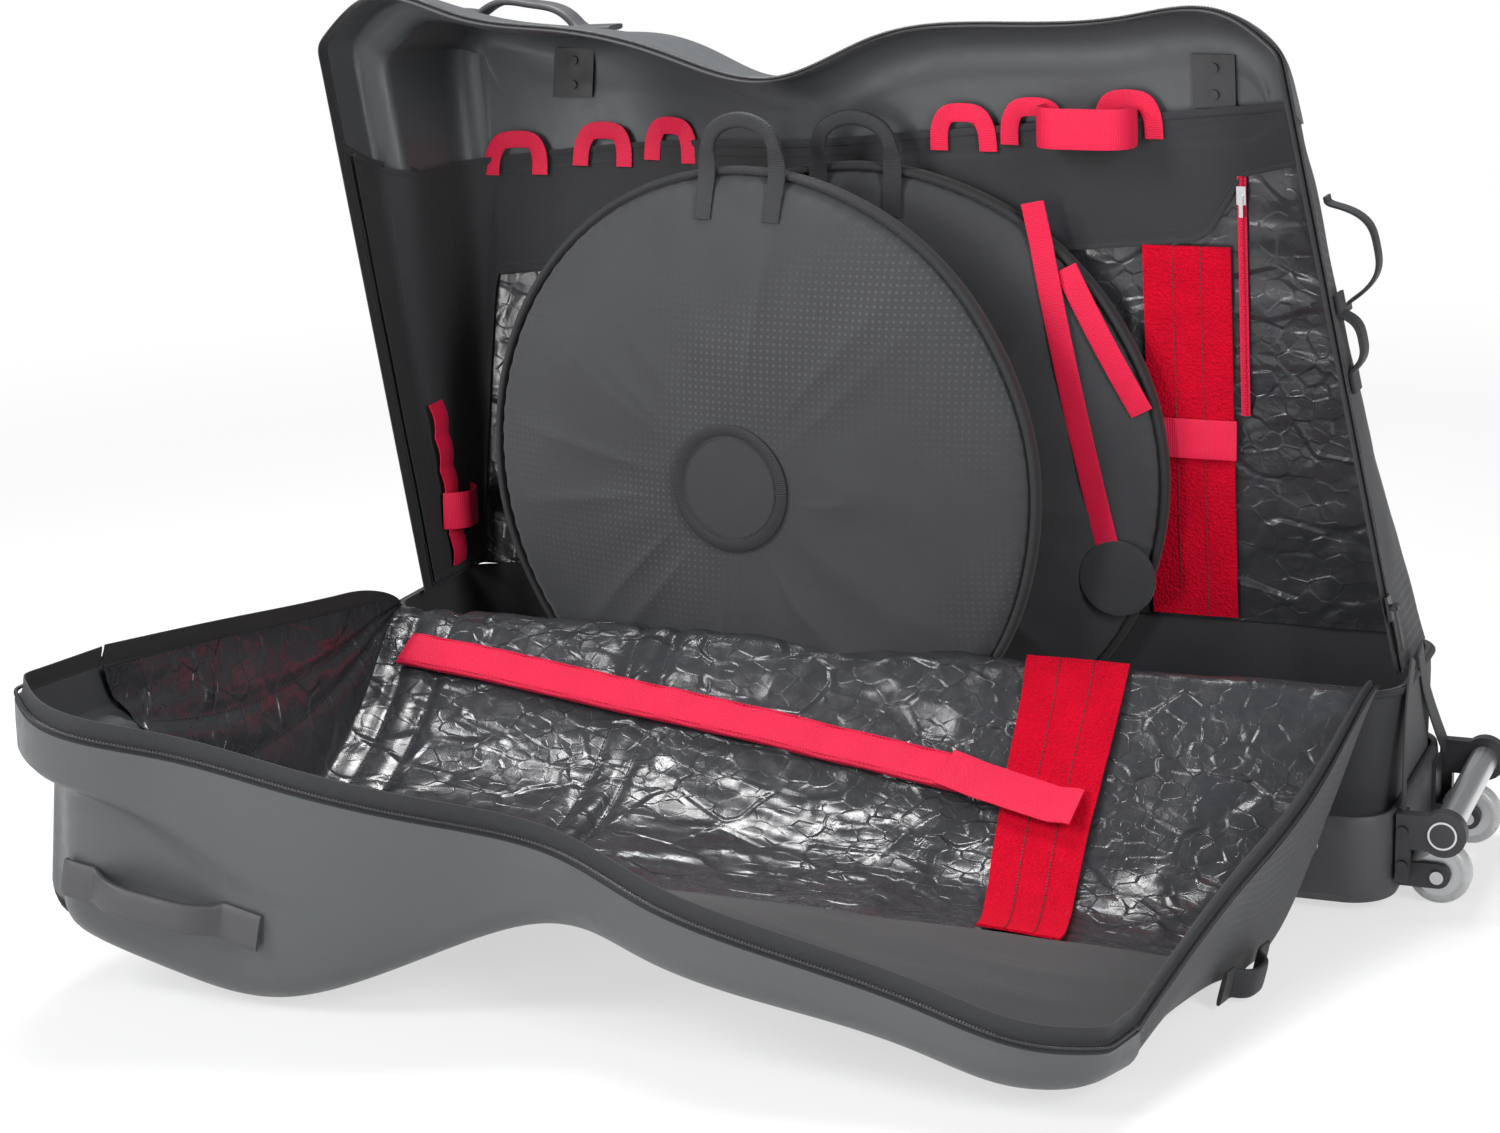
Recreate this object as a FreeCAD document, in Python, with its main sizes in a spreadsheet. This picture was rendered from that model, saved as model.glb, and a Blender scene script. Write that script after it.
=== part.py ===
import FreeCAD
import Part
import Sketcher
import math
import os
from FreeCAD import Placement, Rotation, Vector

# A bike travel case with a hard top, standing open: its back half upright on the base, its lid laid forward.
# X runs along the case towards the rollers, Y from the lid to the back, Z up from the floor.

# Sizes in millimetres, angles in degrees
SIZES = (
    ("overrun", 30, "how far a cut runs past its face"),
    ("seat_gap", 0.3, "clearance between a piece and its seat"),
    ("zip_half", 575, "half the distance between the two zip ends"),
    ("zip_level", 212, "height of the zip ends above the floor"),
    ("rim_height", 678, "rise of the rim above the zip ends"),
    ("top_left", 668, "reach of the rim's top to the handlebar end"),
    ("top_right", 438, "reach of the rim's top to the roller end"),
    ("base_depth", 145, "half depth of the case at the zip ends"),
    ("hump_depth", 262, "half depth of the case at the handlebar hump"),
    ("slim_depth", 62, "half depth of the case at the slim end"),
    ("shell_round", 36, "outside radius between the top wall and the face"),
    ("shell_wall", 5, "wall of the hard shell and of the padded panel"),
    ("top_draft", 6, "draft of the top wall, degrees"),
    ("end_draft", 7, "draft of the handlebar end wall, degrees"),
    ("split_left", 163, "drop of the hard shell's edge below the rim at the handlebar end"),
    ("split_right", 95, "drop of the hard shell's edge below the rim at the slim end"),
    ("split_fall", 27, "fall of the hard shell's edge with depth, degrees"),
    ("zip_width", 15, "width of the zip tape beside the rim"),
    ("tape_thick", 2, "thickness of the zip tape"),
    ("tape_inset", 2, "how far the tape lies inside the outer face"),
    ("teeth_width", 3, "width of one row of teeth"),
    ("teeth_thick", 4, "thickness of the teeth"),
    ("teeth_gap", 0.4, "distance of the teeth from the middle of the zip"),
    ("lining_thick", 2.5, "thickness of the lining"),
    ("web_thick", 3, "thickness of the red webbing and loop tape"),
    ("flap_height", 132, "height of the matte flap above the lining"),
    ("flap_left", 211, "drop of the flap's top edge below the rim at the handlebar end"),
    ("flap_right", 97, "drop of the flap's top edge below the rim at the slim end"),
    ("lid_yaw", 7.6, "turn of the lid's fold line about the vertical, degrees"),
    ("lid_pitch", 5.2, "fall of the lid's fold line to the rollers, degrees"),
    ("lid_swing", 90, "swing of the lid from shut to laid open, degrees"),
    ("fold_front", 8, "distance of the fold line in front of the rim"),
    ("fold_level", 157, "height of the fold line above the floor"),
    ("tub_flare", 12, "how far the tub stands out past the zip ends"),
    ("tub_bottom", 20, "height of the tub's underside above the floor"),
    ("tub_wall", 6, "wall of the padded tub"),
    ("ridge_front", 70, "distance of the front wall's top in front of the rim"),
    ("ridge_level", 205, "height of the front wall's top"),
    ("board_end_gap", 16, "space between the base board and the tub's end walls"),
    ("board_side_gap", 11, "space between the base board and the tub's side walls"),
    ("board_thick", 8, "thickness of the base board"),
    ("board_round", 30, "corner radius of the base board"),
    ("skid_length", 860, "length of the skid under the tub"),
    ("skid_width", 120, "width of the skid"),
    ("skid_round", 40, "corner radius of the skid"),
    ("boot_wall", 10, "wall of the moulded boot"),
    ("boot_reach", 150, "how far the boot wraps along the case"),
    ("boot_height", 105, "height of the boot above the floor"),
    ("tube_radius", 15, "radius of the grab tube"),
    ("tube_wall", 2, "wall of the grab tube"),
    ("tube_half", 134, "half the length of the grab tube"),
    ("tube_stand", 48, "distance of the tube from the boot"),
    ("tube_level", 86, "height of the tube above the floor"),
    ("plug_depth", 8, "depth of a tube end plug"),
    ("fit_gap", 0.05, "running clearance on a radius"),
    ("bracket_thick", 14, "thickness of a grab bracket"),
    ("bracket_track", 124, "distance of a grab bracket from the middle of the case"),
    ("bracket_round", 24, "radius of a grab bracket round its tube"),
    ("bracket_foot", 74, "height of a grab bracket at the boot"),
    ("bolt_head", 6, "radius of a bracket bolt's head"),
    ("bolt_rise", 3, "height of a bracket bolt's head"),
    ("tyre_radius", 33, "radius of a roller"),
    ("tyre_width", 24, "width of a roller"),
    ("tyre_round", 8, "radius of a roller's shoulder"),
    ("rim_radius", 23, "radius of a roller's hub under its tyre"),
    ("bearing_radius", 11, "outside radius of a roller bearing"),
    ("bearing_width", 7, "width of a roller bearing"),
    ("axle_radius", 4, "radius of a roller's axle bolt"),
    ("axle_head", 7, "radius of the axle bolt's head"),
    ("axle_head_rise", 4, "height of the axle bolt's head"),
    ("roller_track", 92, "distance of a roller from the middle of the case"),
    ("roller_stand", 40, "distance of a roller's axle from the boot"),
    ("roller_gap", 1.5, "space between a roller and its fork"),
    ("fork_plate", 5, "thickness of a fork plate"),
    ("fork_round", 13, "radius of a fork plate round its axle"),
    ("fork_web", 4, "thickness of the web that joins the fork plates"),
    ("fork_top", 92, "height of the top of a fork"),
    ("slider_length", 26, "length of the main zip slider"),
    ("slider_width", 17, "width of the main zip slider"),
    ("slider_thick", 3, "thickness of the main zip slider"),
    ("pull_length", 46, "length of the zip pull"),
    ("pull_width", 8.6, "width of the zip pull"),
    ("pull_thick", 3, "thickness of the zip pull"),
    ("pin_radius", 2, "radius of the zip pull's pin"),
    ("pin_length", 13, "length of the zip pull's pin"),
    ("handle_length", 215, "length of a strap handle"),
    ("handle_width", 38, "width of a strap handle"),
    ("handle_thick", 8, "thickness of a strap handle"),
    ("handle_rise", 30, "height of a strap handle's arch"),
    ("handle_foot", 42, "length of a strap handle's foot"),
    ("handle_depth", 150, "distance of a strap handle from the rim"),
    ("wrap_length", 104, "length of an end wrap handle"),
    ("wrap_width", 38, "width of an end wrap handle"),
    ("wrap_thick", 5, "thickness of an end wrap handle"),
    ("wrap_stand", 18, "stand-off of an end wrap handle"),
    ("wrap_foot", 22, "length of an end wrap handle's foot"),
    ("loop_length", 120, "length of the webbing end handle"),
    ("loop_width", 26, "width of the webbing end handle"),
    ("plate_length", 56, "length of a backing plate"),
    ("plate_width", 46, "width of a backing plate"),
    ("plate_thick", 2, "thickness of a backing plate"),
    ("plate_drop_left", 33, "distance of the handlebar end's backing plate below the shoulder"),
    ("plate_drop_right", 34, "distance of the slim end's backing plate below the shoulder"),
    ("screw_radius", 5, "radius of a screw head"),
    ("screw_rise", 2.5, "height of a screw head"),
    ("bag_radius", 338, "radius of a wheel bag"),
    ("bag_edge", 9, "half thickness of a wheel bag at its edge"),
    ("bag_dome", 46, "rise of a wheel bag over the hub"),
    ("bag_back", 22, "rise of a wheel bag on its flat side"),
    ("hub_radius", 68, "radius of a wheel bag's hub patch"),
    ("hub_thick", 3, "thickness of a hub patch"),
    ("binding_radius", 5, "radius of a wheel bag's bound edge"),
    ("bag_handle_span", 84, "distance between the legs of a wheel bag's handle"),
    ("bag_handle_rise", 62, "rise of a wheel bag's handle above its edge"),
    ("bag_handle_leg", 46, "length of handle sewn down on the bag"),
    ("bag_web", 21, "width of a wheel bag's handle webbing"),
    ("front_bag_x", -141, "place of the front wheel bag along the case"),
    ("front_bag_y", -14, "place of the front wheel bag from the rim"),
    ("front_bag_yaw", 7, "turn of the front wheel bag, degrees"),
    ("rear_bag_x", -40, "place of the rear wheel bag along the case"),
    ("rear_bag_y", 84, "place of the rear wheel bag from the rim"),
    ("rear_bag_lean", 4.4, "lean of the rear wheel bag away from the back, degrees"),
    ("loop_panel_width", 96, "width of a red loop-tape panel"),
    ("loop_panel_x", 320, "place of the back loop-tape panel along the case"),
    ("loop_panel_top", 428, "rise of the back loop-tape panel above the zip ends"),
    ("pocket_x", 381, "place of the pocket zip along the case"),
    ("pocket_top", 505, "rise of the pocket zip's top above the zip ends"),
    ("pocket_length", 262, "length of the pocket zip"),
    ("pocket_width", 10, "width of the pocket zip's tape"),
    ("puller_length", 20, "length of the pocket zip's slider"),
    ("daisy_depth", 70, "distance of the daisy chain behind the rim"),
    ("daisy_width", 32, "width of the daisy chain"),
    ("daisy_length", 215, "length of the daisy chain"),
    ("strap_width", 26, "width of a red strap"),
    ("wide_strap", 44, "width of the red end strap and of the saddle loop"),
    ("tab_span", 76, "span of a red strap loop over the flap's top edge"),
    ("tab_rise", 31, "rise of a red strap loop over the flap's top edge"),
    ("tab_web", 20, "width of a red strap loop's webbing"),
    ("sleeve_width", 44, "width of the lid's red sleeve"),
    ("sleeve_thick", 14, "thickness of the lid's red sleeve"),
    ("pad_radius", 43, "radius of the round strap pad"),
    ("pad_thick", 8, "thickness of the round strap pad"),
    ("strap_lift", 1.2, "clearance of a hanging strap from the rear wheel bag"),
)

# Stations along the case from the handlebar end to the slim end, with the rim's height and the depth at each
STATION_SHARES = (0.0, 0.04, 0.16, 0.27, 0.38, 0.5, 0.6, 0.7, 0.85, 0.96, 1.0)
RIM_SHARES = (0.934, 0.998, 0.987, 0.968, 0.934, 0.895, 0.96, 0.985, 0.997, 0.995, 0.945)
DEPTH_SHARES = (0.565, 0.765, 1.0, 0.94, 0.565, 0.165, 0.09, 0.065, 0.03, 0.0, -0.06)

# Rows of the lid's soft panel from the fold to the hard shell: place along the rim, depth of each side wall
ROW_SHARES = (0.1, 0.3, 0.62, 0.96)
WALL_LEFT_SHARES = (0.055, 0.42, 0.78, 0.93)
WALL_RIGHT_SHARES = (0.055, 0.72, 0.93, 0.86)
# Inward lean of each side wall, as a share of the tub's flare
LEAN_LEFT_SHARES = (0.3, 0.8, 1.2, 1.6)
LEAN_RIGHT_SHARES = (0.3, 2.0, 1.7, 1.6)

# Where straps, plates and handles sit, as shares of the part that carries them
END_STRAP_SHARE = 0.62
DAISY_LOOP_SHARE = 0.3
TAB_SHARES = (0.125, 0.22, 0.305, 0.672, 0.745, 0.84)
HANDLE_SHARE = 0.17
HANDLE_SINK_SHARE = -0.03
WRAP_RISE_SHARE = 0.905
WRAP_DEPTH_SHARE = 0.5
LOOP_RISE_SHARE = 0.705
PLATE_SHARES = (0.15, 0.91)
PLATE_DROPS = ("plate_drop_left", "plate_drop_right")
END_SCREW_SHARES = (0.79, 0.88)
SLEEVE_ROW_SHARES = (0.6, 0.84)
SLEEVE_SIDE_SHARES = (0.035, 0.655)
SLEEVE_STEPS = 8
LOOP_LOW_SHARES = (0.672, 0.7, 0.755, 0.77)
LOOP_HIGH_SHARES = (0.772, 0.79, 0.838, 0.852)
STRAP_SHARES = ((0.6, 0.92), (0.85, -0.32))
STRAP_NEAR_SHARE = 0.72
TIE_SHARES = ((0.705, 0.71), (0.95, 0.24))
SADDLE_SHARES = (0.755, 0.85)
SADDLE_LEVEL_SHARE = 0.788
LID_BAND_SHARE = 0.3
LID_SEAM_SHARE = 0.1
LID_LINER_SHARE = 0.62

doc = FreeCAD.newDocument("bike_travel_case")
sheet = doc.addObject("Spreadsheet::Sheet", "sizes")
pieces = []


def fill_sheet():
    for row, (alias, value, note) in enumerate(SIZES, start=1):
        sheet.set("A%d" % row, note)
        sheet.set("B%d" % row, str(value))
        sheet.setAlias("B%d" % row, alias)
    doc.recompute()


def size(alias):
    return float(sheet.get(alias))


def slope(alias):
    return math.tan(math.radians(size(alias)))


def between(low, high, share):
    return low + (high - low) * share


def keep(label, feature):
    feature.Label = label
    pieces.append(feature)
    return feature


def keep_shape(label, shape, placement=None):
    feature = doc.addObject("Part::Feature", label)
    feature.Shape = shape
    if placement is not None:
        feature.Placement = placement.multiply(feature.Placement)
    return keep(label, feature)


def bind(feature, **expressions):
    for prop, expression in expressions.items():
        feature.setExpression(prop, expression)
    return feature


def place(feature, x, y, z):
    feature.setExpression(".Placement.Base.x", x)
    feature.setExpression(".Placement.Base.y", y)
    feature.setExpression(".Placement.Base.z", z)
    return feature


def bound_box(name, length, width, height, x, y, z):
    box = bind(doc.addObject("Part::Box", name), Length=length, Width=width, Height=height)
    return place(box, x, y, z)


def bound_rod(name, radius, height, x, y, z):
    rod = bind(doc.addObject("Part::Cylinder", name), Radius=radius, Height=height)
    rod.Placement = Placement(Vector(), Rotation(Vector(1, 0, 0), -90))
    return place(rod, x, y, z)


def joined(name, *features):
    fuse = doc.addObject("Part::MultiFuse", name)
    fuse.Shapes = list(features)
    return fuse


def pierced(name, base, tool):
    cut = doc.addObject("Part::Cut", name)
    cut.Base = base
    cut.Tool = tool
    return cut


# Half of the case, shut, on the back side of the rim

def station_points(index, inset):
    share = STATION_SHARES[index]
    inward = inset * (1 - 2 * share)
    foot = Vector(size("zip_half") * (2 * share - 1) + inward, 0, size("zip_level"))
    head_x = between(-size("top_left"), size("top_right"), share) + inward
    head = Vector(head_x, 0, size("zip_level") + size("rim_height") * RIM_SHARES[index])
    depth = between(size("slim_depth"), size("hump_depth"), DEPTH_SHARES[index])
    lean = math.radians(size("end_draft")) * max(0.0, 1 - 2 * share)
    return foot, head, Vector(math.sin(lean), math.cos(lean), 0), depth


def station_wire(index, inset):
    foot, head, out, depth = station_points(index, inset)
    up = (head - foot).normalize()
    low = -size("overrun") - inset
    rise = (head - foot).Length - inset
    bend = size("shell_round") - inset
    depth = depth - inset
    shoulder = rise - slope("top_draft") * (depth - bend)
    middle = bend * math.sqrt(0.5)

    def at(y, w):
        return foot + out * y + up * w

    corners = (
        at(low, low),
        at(low, rise - slope("top_draft") * low),
        at(depth - bend, shoulder),
        at(depth, shoulder - bend),
        at(size("base_depth") - inset, low),
    )
    arc = Part.Arc(corners[2], at(depth - bend + middle, shoulder - bend + middle), corners[3])
    return Part.Wire([
        Part.makeLine(corners[0], corners[1]),
        Part.makeLine(corners[1], corners[2]),
        arc.toShape(),
        Part.makeLine(corners[3], corners[4]),
        Part.makeLine(corners[4], corners[0]),
    ])


def half_block(inset):
    return Part.makeLoft([station_wire(index, inset) for index in range(len(STATION_SHARES))], True, False)


def slab(near, far):
    reach = size("top_left") + size("top_right") + size("zip_half")
    return Part.makeBox(2 * reach, far - near, reach, Vector(-reach, near, size("zip_level")))


def split_rise(end):
    return size("rim_height") - size("split_" + end)


def block_above(left, right, fall):
    reach = size("top_left") + size("top_right")
    along = Vector(reach, 0, right - left).normalize()
    across = Vector(0, 1, -fall).normalize()
    corner = Vector(-size("top_left"), 0, size("zip_level") + left)
    block = Part.makeBox(3 * reach, 2 * reach, reach, Vector(-reach, -reach, 0))
    block.Placement = Placement(corner, Rotation(along, across, along.cross(across), "ZXY"))
    return block


def split_block(drop):
    return block_above(split_rise("left") - drop, split_rise("right") - drop, slope("split_fall"))


def flap_rise(share):
    return size("rim_height") - between(size("flap_left"), size("flap_right"), share)


def flap_block(drop):
    return block_above(flap_rise(0) - drop, flap_rise(1) - drop, 0)


def upright_box(x_low, x_high, z_low, z_high):
    return Part.makeBox(x_high - x_low, size("hump_depth"), z_high - z_low,
                        Vector(x_low, 2 * size("zip_width"), z_low))


def end_box(y_low, y_high, z_low, z_high):
    return Part.makeBox(size("top_left"), y_high - y_low, z_high - z_low,
                        Vector(-size("top_left"), y_low, z_low))


def skin(inset, thick):
    whole = half_block(inset).cut(half_block(inset + thick))
    return whole.common(slab(0, 2 * size("hump_depth")))


def mirrored(shape):
    return shape.mirror(Vector(), Vector(0, 1, 0))


def hinge_axis():
    yaw = math.radians(size("lid_yaw"))
    pitch = math.radians(size("lid_pitch"))
    return Vector(math.cos(pitch) * math.cos(yaw), math.cos(pitch) * math.sin(yaw), -math.sin(pitch))


def lid_open():
    fold = Vector(0, -size("fold_front"), size("fold_level"))
    return Placement(Vector(), Rotation(hinge_axis(), size("lid_swing")), fold)


def keep_pair(name, shape):
    keep_shape("back_" + name, shape)
    keep_shape("lid_" + name, mirrored(shape), lid_open())


def build_shells():
    tray = half_block(0).cut(half_block(size("shell_wall")))
    tray = tray.common(slab(size("zip_width"), 2 * size("hump_depth")))
    upper = split_block(0)
    keep_pair("shell", tray.common(upper))
    keep_shape("back_panel", tray.cut(upper))


def build_zip():
    tape = skin(size("tape_inset"), size("tape_thick")).common(slab(size("teeth_width"), size("zip_width")))
    teeth_inset = size("tape_inset") + (size("tape_thick") - size("teeth_thick")) / 2
    teeth = skin(teeth_inset, size("teeth_thick")).common(slab(size("teeth_gap"), size("teeth_width")))
    upper = split_block(0)
    for name, shape in (("zip_tape", tape), ("zip_teeth", teeth)):
        keep_shape("back_" + name, shape)
        keep_shape("lid_" + name, mirrored(shape.common(upper)), lid_open())


# Linings and webbing that lie on the inside of the back half

def build_back_lining():
    inset = size("shell_wall") + size("seat_gap")
    cloth = skin(inset, size("lining_thick")).common(slab(size("zip_width") + inset, 2 * size("hump_depth")))
    keep_shape("back_flap", cloth.cut(flap_block(0)).common(flap_block(size("flap_height"))))
    keep_shape("back_lining", cloth.cut(flap_block(size("flap_height") + size("seat_gap"))))


def layer_inset(layer):
    first = size("shell_wall") + size("lining_thick") + 2 * size("seat_gap")
    return first + layer * (size("web_thick") + size("seat_gap"))


def build_back_webbing():
    level = size("zip_level")
    web = skin(layer_inset(0), size("web_thick"))
    half = size("loop_panel_width") / 2
    panel_low = level + size("board_thick")
    keep_shape("back_loop_panel", web.common(upright_box(
        size("loop_panel_x") - half, size("loop_panel_x") + half, panel_low, level + size("loop_panel_top"))))
    pocket_half = size("pocket_width") / 2
    pocket_low = level + size("pocket_top") - size("pocket_length")
    keep_shape("pocket_zip_tape", web.common(upright_box(
        size("pocket_x") - pocket_half, size("pocket_x") + pocket_half,
        pocket_low, level + size("pocket_top"))))
    daisy_near = size("daisy_depth") - size("daisy_width") / 2
    daisy_far = size("daisy_depth") + size("daisy_width") / 2
    chain = web.common(end_box(daisy_near, daisy_far, level, level + size("daisy_length")))
    outer = skin(layer_inset(1), size("web_thick"))
    strap_half = size("wide_strap") / 2
    strap_level = level + size("loop_panel_top") / 2
    end_strap = outer.common(upright_box(
        size("loop_panel_x") - size("loop_panel_width") * END_STRAP_SHARE, size("loop_panel_x") + half,
        strap_level - strap_half, strap_level + strap_half))
    loop_low = level + size("daisy_length") * DAISY_LOOP_SHARE
    loop = outer.common(end_box(
        daisy_near, daisy_far + size("strap_width"), loop_low, loop_low + size("wide_strap")))
    keep_shape("daisy_chain", Part.makeCompound(chain.Solids + loop.Solids))
    return end_strap.Solids


def build_strap_tabs(tabs):
    web = skin(layer_inset(0), size("web_thick"))
    half, band = size("tab_span") / 2, size("tab_web")
    for share in TAB_SHARES:
        x = between(-size("top_left"), size("top_right"), share)
        edge = size("zip_level") + flap_rise(share)
        top = edge + size("tab_rise")
        hole = upright_box(x - half + band, x + half - band, edge - band, top - band)
        tabs.extend(web.common(upright_box(x - half, x + half, edge - band, top).cut(hole)).Solids)
    keep_shape("strap_tabs", Part.makeCompound(tabs))


# Points on the shut half: on its face, on its top wall and on its end walls

def station_at(share):
    for index in range(len(STATION_SHARES) - 1):
        low, high = STATION_SHARES[index], STATION_SHARES[index + 1]
        if low <= share <= high:
            mix = (share - low) / (high - low)
            return index, mix
    return len(STATION_SHARES) - 2, 1.0


def station_mix(share):
    index, mix = station_at(share)
    first = station_points(index, 0)
    second = station_points(index + 1, 0)
    blended = [a + (b - a) * mix for a, b in zip(first, second)]
    return blended


def face_top(share):
    foot, head, out, depth = station_mix(share)
    return (head - foot).Length - size("shell_round") - slope("top_draft") * (depth - size("shell_round"))


def face_point(share, rise):
    foot, head, out, depth = station_mix(share)
    up = (head - foot).normalize()
    y = between(size("base_depth"), depth, rise)
    return foot + out * y + up * (face_top(share) * rise)


def end_point(side, rise, y):
    share = 0.0 if side < 0 else 1.0
    foot, head, out, depth = station_mix(share)
    return foot + (head - foot) * rise + out * y


def frame_at(origin, along, across):
    normal = along.cross(across)
    return Placement(origin, Rotation(along, across, normal, "ZXY"))


def arch(length, width, thick, rise, foot):
    half = length / 2
    crown = half - foot
    outer = [Vector(-half, 0, 0), Vector(-half, 0, thick), Vector(-crown, 0, thick)]
    top_arc = Part.Arc(outer[2], Vector(0, 0, rise), Vector(crown, 0, thick))
    low_arc = Part.Arc(Vector(crown - thick, 0, 0), Vector(0, 0, rise - thick), Vector(thick - crown, 0, 0))
    wire = Part.Wire([
        Part.makeLine(outer[0], outer[1]),
        Part.makeLine(outer[1], outer[2]),
        top_arc.toShape(),
        Part.makeLine(Vector(crown, 0, thick), Vector(half, 0, thick)),
        Part.makeLine(Vector(half, 0, thick), Vector(half, 0, 0)),
        Part.makeLine(Vector(half, 0, 0), Vector(crown - thick, 0, 0)),
        low_arc.toShape(),
        Part.makeLine(Vector(thick - crown, 0, 0), outer[0]),
    ])
    bar = Part.Face(wire).extrude(Vector(0, width, 0))
    bar.translate(Vector(0, -width / 2, 0))
    return bar


def staple(length, width, thick, stand, foot):
    bar = Part.makeBox(length, width, thick, Vector(-length / 2, -width / 2, stand))
    left = Part.makeBox(foot, width, stand, Vector(-length / 2, -width / 2, 0))
    right = Part.makeBox(foot, width, stand, Vector(length / 2 - foot, -width / 2, 0))
    return bar.fuse(left).fuse(right).removeSplitter()


def top_hit(block, x, y):
    reach = size("zip_level") + size("rim_height") + size("hump_depth")
    line = Part.makeLine(Vector(x, y, reach), Vector(x, y, size("zip_level") + size("rim_height") / 2))
    return Vector(x, y, line.common(block).BoundBox.ZMax)


def top_frame(share, y, lift):
    block = half_block(0)
    x = between(-size("top_left"), size("top_right"), share)
    reach = (size("handle_length") - size("handle_foot")) / 2
    left = top_hit(block, x - reach, y)
    right = top_hit(block, x + reach, y)
    along = (right - left).normalize()
    across = (top_hit(block, x, y + size("handle_width") / 2) - top_hit(block, x, y)).normalize()
    normal = along.cross(across).normalize()
    return frame_at((left + right) / 2 + normal * lift, along, normal.cross(along))


def end_frame(side, rise, y, lift):
    origin = end_point(side, rise, y)
    along = (end_point(side, 1, y) - end_point(side, 0, y)).normalize()
    across = (end_point(side, rise, y) - end_point(side, rise, 0)).normalize() * -side
    normal = along.cross(across).normalize()
    return frame_at(origin + normal * lift, along, normal.cross(along))


def set_on(shape, placement):
    placed = shape.copy()
    placed.Placement = placement
    return placed


def build_handles():
    strap = arch(size("handle_length"), size("handle_width"), size("handle_thick"),
                 size("handle_rise"), size("handle_foot"))
    sink = size("handle_foot") * HANDLE_SINK_SHARE
    strap = set_on(strap, top_frame(HANDLE_SHARE, size("handle_depth"), sink))
    keep_pair("handle", strap.cut(half_block(-size("seat_gap"))))
    wrap = staple(size("wrap_length"), size("wrap_width"), size("wrap_thick"),
                  size("wrap_stand"), size("wrap_foot"))
    lift = size("seat_gap")
    inward = size("zip_width") + size("wrap_width") * (1 + WRAP_DEPTH_SHARE) / 2
    keep_pair("wrap_handles", set_on(wrap, end_frame(1, WRAP_RISE_SHARE, inward, lift)))
    loop = staple(size("loop_length"), size("loop_width"), size("wrap_thick"),
                  size("wrap_stand"), size("wrap_foot"))
    keep_shape("webbing_handle", set_on(loop, end_frame(1, LOOP_RISE_SHARE, size("base_depth") / 2, lift)))


def build_plates():
    inset = size("shell_wall") + size("seat_gap")
    metal = skin(inset, size("plate_thick"))
    heads = skin(inset + size("plate_thick") + size("seat_gap"), size("screw_rise"))
    plates = []
    for share, drop in zip(PLATE_SHARES, PLATE_DROPS):
        middle = face_point(share, 1 - size(drop) / face_top(share))
        plates.extend(metal.common(upright_box(
            middle.x - size("plate_width") / 2, middle.x + size("plate_width") / 2,
            middle.z - size("plate_length") / 2, middle.z + size("plate_length") / 2)).Solids)
        for step in (-size("plate_length") / 4, size("plate_length") / 4):
            drill = Part.makeCylinder(size("screw_radius"), size("hump_depth"),
                                      Vector(middle.x, 2 * size("zip_width"), middle.z + step),
                                      Vector(0, 1, 0))
            plates.extend(heads.common(drill).Solids)
    head = Part.makeCylinder(size("screw_radius"), size("screw_rise"))
    sunk = -inset - size("screw_rise")
    screws = [set_on(head, end_frame(-1, rise, size("base_depth") / 2, sunk)) for rise in END_SCREW_SHARES]
    keep_shape("back_plates", Part.makeCompound(plates + screws))
    keep_shape("lid_screws", mirrored(Part.makeCompound(screws)), lid_open())


# The base: a padded tub on a skid, with a moulded boot at the roller end

def tub_profile(grow, top_front, top_back):
    low = size("tub_bottom") - grow
    lean = (size("base_depth") - size("ridge_front")) / (size("ridge_level") - size("tub_bottom"))
    shift = grow * math.sqrt(1 + lean * lean)
    front_low = -size("base_depth") - shift + lean * (low - size("tub_bottom"))
    front_top = -size("base_depth") - shift + lean * (top_front - size("tub_bottom"))
    back = size("base_depth") + grow
    return [(front_low, low), (back, low), (back, top_back), (front_top, top_front)]


def prism(profile, x_low, x_high):
    points = [Vector(x_low, y, z) for y, z in profile]
    return Part.Face(Part.makePolygon(points + points[:1])).extrude(Vector(x_high - x_low, 0, 0))


def build_tub():
    top = size("zip_level") - size("seat_gap")
    outer = tub_profile(0, size("ridge_level"), top)
    outer.insert(3, (0, top))
    reach = size("zip_half") + size("tub_flare")
    inner = tub_profile(-size("tub_wall"), top + size("overrun"), top + size("overrun"))
    room = prism(inner, size("tub_wall") - reach, reach - size("tub_wall"))
    keep_shape("base_tub", prism(outer, -reach, reach).cut(room))
    boot_outer = prism(tub_profile(size("boot_wall"), size("boot_height"), size("boot_height")),
                       reach - size("boot_reach"), reach + size("boot_wall"))
    high = size("boot_height") + size("overrun")
    hollow = prism(tub_profile(size("seat_gap"), high, high), 0, reach + size("seat_gap"))
    keep_shape("wheel_boot", boot_outer.cut(hollow))


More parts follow.
